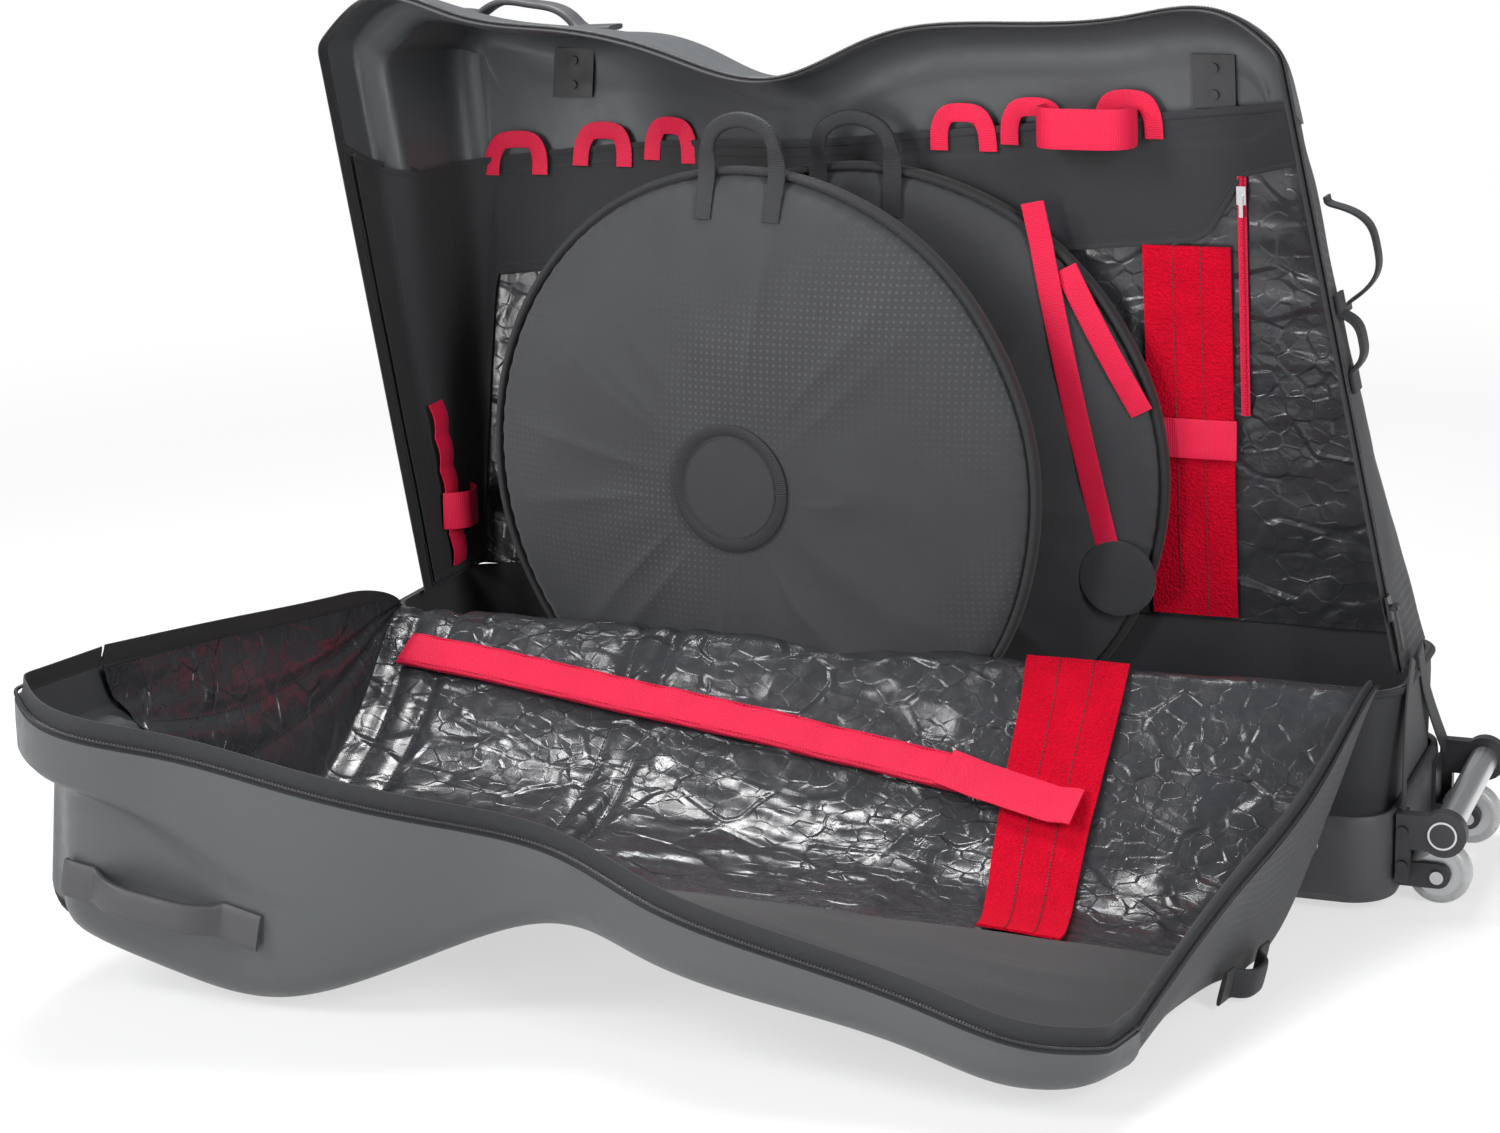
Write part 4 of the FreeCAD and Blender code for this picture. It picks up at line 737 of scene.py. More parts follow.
def paint_cloth(name, gain=1.0, pitch=0.0019, sheen=0.15, dots=0.0):
    paint = Paint(name, Sheen_Weight=sheen, Sheen_Roughness=0.5, Specular_IOR_Level=0.3)
    weave = paint.weave(pitch)
    wear = paint.noise(14.0, 4.0)
    fuzz = paint.noise(1500.0, 2.0)
    slub = paint.noise(1.0, 3.0, 0.6, paint.scaled((900.0, 90.0, 90.0)))
    mottle = weave * 0.22 + slub * 0.33 + wear * 0.45
    shade = paint.blended(mottle, tone("cloth", 0.7 * gain), tone("cloth", 1.3 * gain))
    rough = paint.ranged(fuzz, 0.2, 0.8, 0.62, 0.88)
    if dots:
        across = (paint.uv.part(0) * (1 / dots)).wrapped() - 0.5
        along = (paint.uv.part(1) * (1 / dots)).wrapped() - 0.5
        dot = 1 - paint.ranged(across * across + along * along, 0.02, 0.05)
        fade = paint.ranged(paint.noise(4.0, 1.0, 0.4), 0.42, 0.68)
        print_mask = dot * fade
        shade = paint.blended(print_mask * 0.3, shade, tone("cloth", 4.0))
        rough = rough - print_mask * 0.25
    paint.feed(Base_Color=shade, Roughness=rough, Normal=paint.bumped(weave * 0.6 + fuzz * 0.5, 0.0006, 0.5))
    return paint.done()


def paint_web(name, colour_name, gain=1.0):
    paint = Paint(name, Sheen_Weight=0.06, Sheen_Roughness=0.4, Specular_IOR_Level=0.25)
    rib = (paint.uv.part(1) * (2 * math.pi / 0.0024)).sine() * 0.5 + 0.5
    twill = ((paint.uv.part(0) + paint.uv.part(1)) * (2 * math.pi / 0.0034)).sine() * 0.5 + 0.5
    weave = rib * 0.6 + twill * 0.4
    shade = paint.blended(weave * 0.5 + paint.noise(30.0, 3.0) * 0.5, tone(colour_name, 0.76 * gain),
                          tone(colour_name, 1.18 * gain))
    paint.feed(Base_Color=shade, Roughness=paint.ranged(weave, 0.0, 1.0, 0.62, 0.5),
               Normal=paint.bumped(weave, 0.0007, 0.6))
    return paint.done()


def paint_loop():
    paint = Paint("red_loop_tape", Sheen_Weight=0.25, Sheen_Roughness=0.35, Sheen_Tint=(1.0, 0.03, 0.06, 1.0),
                  Specular_IOR_Level=0.08)
    fuzz = paint.noise(420.0, 4.0, 0.7)
    curl = paint.cells(300.0)
    nap = paint.noise(26.0, 3.0)
    shade = paint.blended(fuzz * 0.6 + nap * 0.4, tone("red_loop", 0.45), tone("red_loop", 1.4))
    paint.feed(Base_Color=shade, Roughness=0.92, Normal=paint.bumped(fuzz + curl, 0.002, 0.9))
    return paint.done()


def paint_plastic(name, gain=1.0, low=0.36, high=0.55, grain=700.0):
    paint = Paint(name)
    pebble = paint.noise(grain, 3.0)
    wear = paint.noise(40.0, 5.0, 0.65)
    paint.feed(Base_Color=paint.blended(wear, tone("plastic", 0.85 * gain), tone("plastic", 1.3 * gain)),
               Roughness=paint.ranged(wear, 0.3, 0.7, low, high), Normal=paint.bumped(pebble, 0.0004, 0.4))
    return paint.done()


def paint_metal(name, shade, low, high, stretch):
    paint = Paint(name, Metallic=1.0)
    brush = paint.noise(1.0, 4.0, 0.7, paint.scaled(stretch))
    dark = tuple(part * 0.8 for part in shade) + (1.0,)
    paint.feed(Base_Color=paint.blended(brush, dark, shade + (1.0,)),
               Roughness=paint.ranged(brush, 0.25, 0.75, low, high), Normal=paint.bumped(brush, 0.0002, 0.3))
    return paint.done()


def paint_tyre():
    paint = Paint("roller_tyre", Subsurface_Weight=0.25, Subsurface_Scale=0.01, IOR=1.5)
    dust = paint.noise(90.0, 4.0)
    paint.feed(Base_Color=paint.blended(dust, (0.36, 0.37, 0.37, 1.0), (0.5, 0.51, 0.51, 1.0)),
               Roughness=paint.ranged(dust, 0.3, 0.7, 0.22, 0.38), Normal=paint.bumped(dust, 0.0003, 0.3))
    return paint.done()


def paint_floor():
    """A pale floor that looks near white to the camera and in reflections, and keeps the shadow."""
    paint = Paint("studio_floor", Roughness=0.7)
    paint.feed(Base_Color=paint.blended(paint.noise(1.2, 2.0), tone("floor", 0.99), tone("floor")))
    rays = [paint.node("ShaderNodeLightPath", output="Is %s Ray" % kind)
            for kind in ("Camera", "Glossy", "Transmission")]
    glow = paint.node("ShaderNodeEmission", {}, {"Color": (1.0, 1.0, 1.0, 1.0), "Strength": 1.0})
    away = paint.vector_math("LENGTH", paint.object, output="Value")
    seen = rays[0].math("MINIMUM", rays[0] + rays[1] + rays[2], 1.0) * paint.ranged(away, 1.2, 3.4, 0.62, 1.0)
    plain = Socket(paint, paint.shader.outputs[0])
    shown = paint.node("ShaderNodeMixShader", {}, (seen, plain, glow))
    paint.join(shown, paint.tree.nodes["Material Output"].inputs["Surface"])
    return paint.done()


FINISHES = {
    "shell_graphite": paint_shell,
    "shell_inside": paint_shell_inside,
    "coated_lining": paint_lining,
    "panel_cloth": lambda: paint_cloth("panel_cloth", 1.0),
    "dotted_cloth": lambda: paint_cloth("dotted_cloth", 1.0, dots=0.009),
    "flap_cloth": lambda: paint_cloth("flap_cloth", 0.8, 0.0024, 0.1),
    "bag_cloth": lambda: paint_cloth("bag_cloth", 1.25, 0.0021, 0.2, dots=0.0075),
    "bag_plain": lambda: paint_cloth("bag_plain", 1.25, 0.0021, 0.2),
    "patch_cloth": lambda: paint_cloth("patch_cloth", 1.15, 0.0016, 0.2),
    "zip_tape": lambda: paint_cloth("zip_tape", 0.8, 0.0028, 0.1),
    "black_web": lambda: paint_web("black_web", "cloth", 0.9),
    "red_web": lambda: paint_web("red_web", "red_web"),
    "red_loop": paint_loop,
    "black_thread": lambda: paint_plastic("black_thread", 1.2, 0.5, 0.7),
    "coil": lambda: paint_plastic("coil", 0.7, 0.3, 0.42),
    "plastic": lambda: paint_plastic("plastic"),
    "rubber": lambda: paint_plastic("rubber", 1.9, 0.45, 0.62),
    "boot": lambda: paint_plastic("boot", 1.9, 0.5, 0.68, 420.0),
    "board": lambda: paint_plastic("board", 0.9, 0.5, 0.7),
    "aluminium": lambda: paint_metal("aluminium", (0.78, 0.79, 0.8), 0.24, 0.42, (900.0, 8.0, 900.0)),
    "steel": lambda: paint_metal("steel", (0.62, 0.62, 0.63), 0.2, 0.36, (300.0, 300.0, 300.0)),
    "black_steel": lambda: paint_metal("black_steel", (0.07, 0.07, 0.075), 0.32, 0.5, (300.0, 300.0, 300.0)),
    "roller_tyre": paint_tyre,
    "hub": lambda: paint_metal("hub", (0.55, 0.56, 0.57), 0.25, 0.4, (200.0, 200.0, 200.0)),
    "studio_floor": paint_floor,
}
made_finishes = {}

# Solids that keep their own shape, by finish
FITTINGS = {
    "plastic": ("back_plates", "bracket_near", "bracket_far", "tube_plugs", "fork_near", "fork_far",
                "zip_pull"),
    "black_steel": ("bracket_bolts",),
    "steel": ("lid_screws", "axle_near", "axle_far", "bearings_near", "bearings_far", "pocket_zip_slider"),
    "coil": ("zip_slider",),
    "aluminium": ("grab_tube",),
    "hub": ("hub_near", "hub_far"),
    "roller_tyre": ("tyre_near", "tyre_far"),
    "board": ("base_board", "base_skid"),
}


def finish(name):
    if name not in made_finishes:
        made_finishes[name] = FINISHES[name]()
    return made_finishes[name]


# The form of half the case, shut, on the back side of the rim

def rim_line():
    """The rim from the left zip end over the top to the right one, with the wall's draft and lip there."""
    shares = np.linspace(0, 1, 241)
    half, level = size("zip_half"), size("zip_level")
    top_x = mixed(-size("top_left"), size("top_right"), shares)
    top_z = level + size("rim_height") * spline(STATION_SHARES, RIM_SHARES, shares)
    line = np.stack([np.concatenate([[-half], top_x, [half]]), np.concatenate([[level], top_z, [level]])], -1)
    line = rounded(evened(line, 1400), 12)
    along = np.gradient(line, axis=0)
    along /= np.linalg.norm(along, axis=1, keepdims=True)
    inward = rounded(np.stack([along[:, 1], -along[:, 0]], -1), 36)
    inward_x, inward_z = (inward / np.linalg.norm(inward, axis=1, keepdims=True)).T
    left, top = np.clip(inward_x, 0, 1), np.clip(-inward_z, 0, 1)
    near_hump = eased((LIP_END_X - line[:, 0]) / LIP_FADE)
    return {
        "run": run_lengths(line), "x": line[:, 0], "z": line[:, 1], "nx": inward_x, "nz": inward_z,
        "draft": left * math.tan(size("end_draft")) + top * math.tan(size("top_draft")),
        "lip": size("lip_depth") + top * LIP_DROP * eased((line[:, 0] - LIP_DROP_X) / LIP_DROP_SPAN),
        "step": size("lip_step") * (left + top * LIP_TOP_SHARE) * near_hump,
    }


def wall_point(rim, run, depth, inset):
    """Points of the wall at runs along the rim and depths behind it, pushed inwards by inset."""
    x, z, nx, nz, draft, lip, step = (np.interp(run, rim["run"], rim[key])
                                      for key in ("x", "z", "nx", "nz", "draft", "lip", "step"))
    inward = draft * depth + inset + step * eased((depth - lip) / LIP_SPAN)
    return np.stack([x + nx * inward, depth + 0 * x, z + nz * inward], -1)


def run_over_hump(rim, x):
    """The run along the rim at a place x on the hump's top."""
    return np.interp(x, rim["x"][HUMP_TOP], rim["run"][HUMP_TOP])


def face_depth(x, z):
    """Depth of the half's face behind the rim at places x, z."""
    half, level = size("zip_half"), size("zip_level")
    share = np.clip((x + half) / (2 * half), 0, 1)
    for _ in range(6):
        rise = size("rim_height") * spline(STATION_SHARES, RIM_SHARES, share)
        climb = (z - level) / rise
        left = -half + (half - size("top_left")) * climb
        right = half + (size("top_right") - half) * climb
        share = np.clip((x - left) / (right - left), 0, 1)
    depth = mixed(size("slim_depth"), size("hump_depth"), spline(STATION_SHARES, DEPTH_SHARES, share))
    bend = size("shell_round")
    shoulder = rise - bend - math.tan(size("top_draft")) * (depth - bend)
    return mixed(size("base_depth"), depth, np.clip((z - level) / shoulder, 0, 1.0))


def split_level(x, depth):
    """Height of the hard shell's edge."""
    climb = (size("split_right") - size("split_left")) / (size("top_left") + size("top_right"))
    edge = size("zip_level") + size("split_left") + climb * (x + size("top_left"))
    return edge - math.tan(size("split_fall")) * depth


def split_runs(rim, depth):
    """Runs along the rim at which the wall meets the hard shell's edge, for each depth."""
    depth = np.asarray(depth, float)
    run = rim["run"]
    places = np.linspace(-0.02, 0.3, 65)
    ends = []
    for place in places:
        over = rim["z"] - split_level(rim["x"], place)
        above = np.nonzero(over > 0)[0]
        low, high = above[0], above[-1]
        first = run[low] - over[low] / (over[low] - over[low - 1]) * (run[low] - run[low - 1])
        last = run[high] + over[high] / (over[high] - over[high + 1]) * (run[high + 1] - run[high])
        ends.append((first, last))
    ends = np.array(ends)
    return np.interp(depth, places, ends[:, 0]), np.interp(depth, places, ends[:, 1])


def hard_tray(columns=230, wall_rows=36, bend_rows=8, face_rows=34, inset=0.0, start=None, first=0.0):
    """The hard half shell as rows from the rim over the wall and the bend and down its face to its edge."""
    rim = rim_line()
    start = size("rim_start") if start is None else start
    bend = size("shell_round") - min(inset, 0.012)
    share = np.linspace(first, 1, columns)
    deep = np.full(columns, size("base_depth"))
    for _ in range(6):
        low, high = split_runs(rim, deep - bend)
        spot = wall_point(rim, mixed(low, high, share), deep - bend, inset + bend)
        deep = face_depth(spot[:, 0], spot[:, 2]) - inset
    rows = []
    for row in np.linspace(0, 1, wall_rows):
        depth = mixed(start, np.maximum(deep - bend, start + 0.004), row)
        low, high = split_runs(rim, depth)
        rows.append(wall_point(rim, mixed(low, high, share), depth, inset))
    low, high = split_runs(rim, deep - bend)
    for turn in np.linspace(0, math.pi / 2, bend_rows + 1)[1:]:
        spot = wall_point(rim, mixed(low, high, share), deep - bend, inset + bend * (1 - math.cos(turn)))
        spot[:, 1] = deep - bend + bend * math.sin(turn)
        rows.append(spot)
    top = rows[-1]
    own = (top[:, 0] - top[0, 0]) / (top[-1, 0] - top[0, 0])
    even = (share - first) / (1 - first)
    low_x = mixed(top[0, 0], top[-1, 0], mixed(own, even, 0.5))
    low_z = top[:, 2]
    for _ in range(12):
        low_z = split_level(low_x, face_depth(low_x, low_z))
    low_z = np.minimum(low_z, top[:, 2])
    ease = np.minimum(1, np.minimum(share - first, 1 - share) / 0.02)
    low_x, low_z = mixed(top[:, 0], low_x, ease), mixed(top[:, 2], low_z, ease)
    for row in np.linspace(0, 1, face_rows + 1)[1:]:
        x, z = mixed(top[:, 0], low_x, row), mixed(top[:, 2], low_z, row)
        rows.append(np.stack([x, mixed(top[:, 1], face_depth(x, z) - inset, eased(row * 4)), z], -1))
    rows = np.array(rows)
    eased_rows = rows
    for _ in range(2):
        eased_rows = np.stack([rounded(line, 5) for line in eased_rows])
    weight = eased(np.arange(len(rows)) / (0.4 * wall_rows))[:, None, None]
    return mixed(rows, eased_rows, weight), wall_rows + bend_rows


def section(parts, count):
    """A line in three parts, each evenly spaced, with a fixed share of the points on each."""
    edge = int(round(count * CORNER_SHARE))
    counts = (edge + 1, count - 2 * edge + 1, edge + 1)
    lines = [evened(np.asarray(part, float), number) for part, number in zip(parts, counts)]
    return np.concatenate([lines[0][:-1], lines[1][:-1], lines[2]])


def split_section(count):
    """The hard shell's edge from the left rim round the face to the right rim."""
    tray, corner = hard_tray(inset=0.0012)
    return section((tray[:corner, 0], tray[-1], tray[corner - 1::-1, -1]), count)


def base_section(count):
    """The half's foot from the left zip end round the face to the right one."""
    half, level, deep = size("zip_half"), size("zip_level"), size("base_depth")
    start = size("rim_start")
    corners = [(-half, start, level), (-half, deep, level), (half, deep, level), (half, start, level)]
    return section((corners[0:2], corners[1:3], corners[2:4]), count)


def soft_tray(rows, columns, low, high):
    """The soft half panel as rows from the hard shell's edge down to the zip ends."""
    upper, lower = split_section(columns), base_section(columns)
    reach = max(2, columns // 60)
    upper, lower = rounded(upper, reach), rounded(lower, reach)
    return np.array([mixed(upper, lower, share) for share in np.linspace(low, high, rows)])


def flap_level(x):
    """Height of the flap's top edge at places along the case."""
    share = (np.asarray(x, float) + size("top_left")) / (size("top_left") + size("top_right"))
    return size("zip_level") + mixed(size("flap_left"), size("flap_right"), share)


def inner_half(columns, gap):
    """The inside of the back half as rows from above the hard shell's edge down to the zip ends."""
    edge = rounded(split_section(columns), max(2, columns // 60))
    share = np.linspace(0, 1, columns + 1)
    on_face = eased((np.minimum(share, 1 - share) - CORNER_SHARE + 0.02) / 0.04)
    drift = np.where(share < 0.5, size("zip_half") - size("top_left"), size("top_right") - size("zip_half"))
    rows = []
    for rise in np.linspace(0.09, 0.0, 19)[:-1]:
        x = edge[:, 0] + (1 - on_face) * rise * drift / size("rim_height")
        z = edge[:, 2] + rise
        rows.append(np.stack([x, mixed(edge[:, 1], face_depth(x, z), on_face), z], -1))
    points = np.concatenate([np.array(rows), soft_tray(90, columns, 0.0, 0.995)])
    return shifted(points, gap, FRONT)


def cut_rows(grid, top, low, rows):
    """The part of a grid of falling rows between a top and a low height for each column."""
    columns = []
    for index in range(grid.shape[1]):
        line = grid[::-1, index]
        climb = np.maximum.accumulate(line[:, 2])
        z = np.linspace(top[index], low[index], rows)
        columns.append(np.stack([np.interp(z, climb, line[:, 0]), np.interp(z, climb, line[:, 1]), z], -1))
    return np.array(columns).transpose(1, 0, 2)


def flap_heights(grid):
    """Heights of the flap's top and low edges for each column of the back half's inside."""
    level = size("zip_level")
    share = np.linspace(0, 1, grid.shape[1])
    x, edge = grid[18, :, 0], grid[18, :, 2]
    top = flap_level(x)
    top = np.where(share < 0.5, np.maximum(top, edge - 0.002), top)
    low = top - size("flap_height")
    low = np.where(x > FLAP_CUT_X[0], level + np.interp(x, FLAP_CUT_X, FLAP_CUT_RISE), low)
    low = mixed(level + 0.012, np.minimum(low, top - 0.03), eased((share - LEG_END) / 0.014))
    return top, low


def flap_points(rows=46, columns=300):
    """The matte flap, with its leg on the hump end's wall."""
    grid = inner_half(columns, size("lining_gap") + 0.0035)
    points = cut_rows(grid, *flap_heights(grid), rows)
    return shifted(points, 0.0012 * (1 + rumple(points, 0.08, 21)), FRONT)


def lid_turn():
    """The turn of the lid about its fold, from shut to laid open."""
    yaw, pitch = size("lid_yaw"), size("lid_pitch")
    axis = Vector((math.cos(pitch) * math.cos(yaw), math.cos(pitch) * math.sin(yaw), -math.sin(pitch)))
    return np.array(Matrix.Rotation(size("lid_swing"), 3, axis))


def opened(points):
    """Points of the back half carried to the lid as it lies open."""
    fold = np.array((0.0, -size("fold_front"), size("fold_level")))
    return (points * (1, -1, 1) - fold) @ lid_turn().T + fold


def lid_row(index, count):
    """One row of the lid's soft half from the left rim down, across and up to the right rim."""
    walls = ((-1, WALL_LEFT_SHARES, LEAN_LEFT_SHARES, 0), (1, WALL_RIGHT_SHARES, LEAN_RIGHT_SHARES, -1))
    edge = opened(split_section(count))
    rims, feet = [], []
    for side, wall_shares, lean_shares, end in walls:
        foot = np.array((side * size("zip_half"), 0.0, size("zip_level")))
        rim = mixed(foot, edge[end], ROW_SHARES[index])
        if index == 0:
            rim = np.array((rim[0], RIDGE_Y, RIDGE_Z))
        lean = size("tub_flare") * lean_shares[index]
        rims.append(rim)
        feet.append(np.array((rim[0] - side * lean, 0.0, rim[2] * (1 - wall_shares[index]))))
    for foot in feet:
        foot[1] = mixed(rims[0][1], rims[1][1], (foot[0] - rims[0][0]) / (rims[1][0] - rims[0][0]))
    return section(((rims[0], feet[0]), (feet[0], feet[1]), (feet[1], rims[1])), count)


def lid_soft(rows, columns, start, end):
    """The lid's soft half as rows from behind the fold's ridge to the hard shell's edge."""
    first = lid_row(0, columns)
    lines = [first + np.array(step) for step in BEHIND_STEPS]
    lines += [lid_row(index, columns) for index in range(len(ROW_SHARES))]
    lines.append(opened(split_section(columns)))
    reach = max(2, columns // 50)
    lines = np.array([rounded(line, reach) for line in lines])
    knots = BEHIND_TIMES + ROW_TIMES + (1.0,)
    return spline(knots, lines, np.linspace(start, end, rows))


# Pieces

class CASE_OT_shells(Operator):
    """Mould the two hard half shells with their lips and bends"""

    bl_idname = "case.shells"
    bl_label = "Hard shells"

    def execute(self, context):
        tray, _ = hard_tray()
        for body, name, points, outward in (("case", "back_shell", tray, REAR),
                                            ("lid", "lid_shell", opened(tray), DOWN)):
            piece = thicken(sheet_piece(name + "_moulding", points, outward), size("shell_wall"), 1)
            dress(piece, ("shell_graphite", "shell_inside"), body, (name,), SHEET_CREASE)
        return {"FINISHED"}


class CASE_OT_panels(Operator):
    """Sew the padded outer panels of the two soft halves"""

    bl_idname = "case.panels"
    bl_label = "Outer panels"

    def execute(self, context):
        back = soft_tray(60, 220, -0.02, 1.0)
        swell = 0.0016 * rumple(back, 0.07, 3) + 0.0008 * rumple(back, 0.03, 4)
        back = shifted(back, swell, REAR)
        piece = cloth_piece("back_panel_cloth", back, REAR, size("panel_thick"),
                            ("dotted_cloth",), "case", ("back_panel",))
        lid = lid_soft(70, 200, -0.1, 1.0)
        lid = shifted(lid, 0.0016 * rumple(lid, 0.08, 5), DOWN)
        lid[..., 2] = np.maximum(lid[..., 2], FLOOR_GAP)
        piece = cloth_piece("lid_panel_cloth", lid, DOWN, size("panel_thick"),
                            ("dotted_cloth",), None, ("lid_panel",))
        fold_with_lid(piece)
        return {"FINISHED"}


def crumpled(points, towards, deep, seed, drawn):
    """A lining with long soft folds and sharp creases, standing towards the given side."""
    drift = np.stack([rumple(points, 0.11, seed + step) for step in range(3)], -1)
    bent = (points + 0.03 * drift) * drawn
    busy = eased(0.5 + 1.2 * rumple(points, 0.2, seed + 5))
    folds = 0.5 + 0.5 * rumple(bent, 0.15, seed + 3)
    folds = folds + 0.7 * creases(bent, 0.085, seed + 4) * (0.35 + 0.65 * busy)
    folds = folds + busy * (0.5 * creases(bent, 0.042, seed + 6) + 0.22 * creases(bent, 0.021, seed + 7))
    return shifted(points, deep * folds, towards)


def lid_lining_points(rows=130, columns=300):
    """The lid's lining with its folds and pinched seams, from behind the ridge to the hard shell's edge."""
    cloth = shifted(lid_soft(rows, columns, LINING_START, LINING_END), size("lining_gap"), UP)
    share = np.linspace(0, 1, cloth.shape[1])
    seams = sum(np.exp(-((share - place) / 0.006) ** 2) for pair in LINING_SEAMS for place in pair)
    under = eased((share - 0.6) / 0.03) * eased((0.78 - share) / 0.03)
    return crumpled(cloth, UP, 0.0065 * (1 - 0.85 * seams) * (1 - 0.5 * under), 41, LID_DRAWN)


def seam_lines(points, places, first, last, towards):
    """Lines of points and normals along columns of a grid, for stitches."""
    normal = normals_towards(points, towards)
    rows = np.linspace(first, last, 160)
    return [(picked(points, rows, place), picked(normal, rows, place)) for place in places]


def lid_spot(points, row, share, lift):
    """Places on the lid's lining, at rows counted from the ridge and shares of its floor."""
    time = np.interp(row, range(len(ROW_TIMES) + 1), ROW_TIMES + (1.0,))
    place = (time - LINING_START) / (LINING_END - LINING_START)
    column = CORNER_SHARE + (1 - 2 * CORNER_SHARE) * np.asarray(share, float)
    spot = picked(points, place, column)
    normal = picked(normals_of(points), place, column)
    normal = np.where(normal[..., 2:] < 0, -normal, normal)
    return spot + normal * lift


class CASE_OT_linings(Operator):
    """Drape the coated linings and the matte flap inside both halves"""

    bl_idname = "case.linings"
    bl_label = "Linings"

    def execute(self, context):
        self.back_flap(flap_points())
        self.back_lining(inner_half(300, size("lining_gap")))
        points = lid_lining_points()
        self.lid_lining(points)
        self.lid_liner()
        self.lid_flap(points)
        self.lid_band(rim_line())
        return {"FINISHED"}

    def back_flap(self, flap):
        piece = cloth_piece("back_flap_cloth", flap, FRONT, FLAP_THICK,
                            ("flap_cloth",), "case", ("back_flap",))
        edges = [strip_piece("edge", flap[row], FRONT, half_width, 0.0014, *BOUND_SECTION)
                 for row, half_width in ((0, 0.0042), (-1, 0.003))]
        dress(joined("back_flap_edges", edges), ("zip_tape",), "case")
        lines = seam_lines(flap, LEG_SEAMS, 0.1, 0.99, FRONT)
        lines += seam_lines(flap.transpose(1, 0, 2), (0.11, 0.93), 0.14, 0.96, FRONT)
        dress(stitches("back_flap_thread", lines), ("black_thread",), "case")

    def back_lining(self, grid):
        _, low = flap_heights(grid)
        foot = size("zip_level") + 0.004
        cloth = cut_rows(grid, np.maximum(low + 0.02, foot + 0.05), np.full(len(low), foot), 90)
        fade = 0.15 + 0.85 * eased((low[None, :] - cloth[..., 2]) / 0.05)
        cloth = crumpled(cloth, FRONT, 0.0034 * fade, 31, BACK_DRAWN)
        piece = cloth_piece("back_lining_cloth", cloth, FRONT, LINING_THICK,
                            ("coated_lining",), "case", ("back_lining",))

    def lid_lining(self, points):
        piece = cloth_piece("lid_lining_cloth", points, UP, LINING_THICK,
                            ("coated_lining",), None, ("lid_lining",))
        lines = []
        for pair, span in zip(LINING_SEAMS, LINING_SEAM_SPANS):
            lines += seam_lines(points, pair, *span, UP)
        thread = stitches("lid_lining_thread", lines, 0.006, 0.6, 0.0012)
        fold_with_lid(piece, dress(thread, ("black_thread",)))

    def lid_liner(self):
        cloth, _ = hard_tray(260, 30, 8, 40, size("lining_gap") + 0.001, 0.02, 0.14)
        deep = 0.004 * mixed(0.15, 1.0, eased((np.arange(len(cloth)) - 12) / 14))
        cloth = crumpled(opened(cloth), UP, deep[:, None], 51, LID_DRAWN)
        piece = cloth_piece("lid_liner_cloth", cloth, UP, LINING_THICK,
                            ("coated_lining", "flap_cloth"), "lid", ("lid_liner",))
        for face in piece.data.polygons:
            face.material_index = int(face.center.x > MATTE_START_X)
        edge, lift = cloth[:, 0], normals_of(cloth)[:, 0]
        bound = strip_piece("lid_liner_edge", edge, lift, 0.0055, 0.0026, *BOUND_SECTION)
        dress(bound, ("zip_tape",), "lid")

    def lid_flap(self, points):
        share = np.linspace(0.2, 1.0, 130)[None, :]
        first = np.interp(share, MATTE_SHARES, MATTE_ROWS)
        row = mixed(first, len(ROW_TIMES), np.linspace(0, 1, 40)[:, None])
        spots = lid_spot(points, row, share + 0 * first, 0.009)
        spots = np.stack([rounded(line, 6) for line in spots])
        piece = cloth_piece("lid_flap_cloth", spots, UP, FLAP_THICK, ("flap_cloth",))
        fold_with_lid(piece)

    def lid_band(self, rim):
        inset = size("lining_gap") + 0.005
        near, far = BAND_DEPTHS
        first = run_over_hump(rim, BAND_START_X)
        rows = []
        for depth in np.linspace(near, far, 14):
            run = np.linspace(first, split_runs(rim, depth)[1], 220)
            spot = wall_point(rim, run, depth, inset)
            floor = face_depth(spot[:, 0], spot[:, 2]) - 0.014
            deep = mixed(near, np.minimum(floor, far), (depth - near) / (far - near))
            rows.append(wall_point(rim, run, deep, inset))
        facing = opened(np.array(rows))
        facing = shifted(facing, 0.0008 * rumple(facing, 0.07, 57), REAR)
        piece = cloth_piece("lid_band_cloth", facing, REAR, BAND_THICK,
                            ("flap_cloth",), "lid", ("lid_band",))
        lines = seam_lines(facing.transpose(1, 0, 2), (0.08, 0.92), 0.01, 0.99, REAR)
        dress(stitches("lid_band_thread", lines), ("black_thread",), "lid")


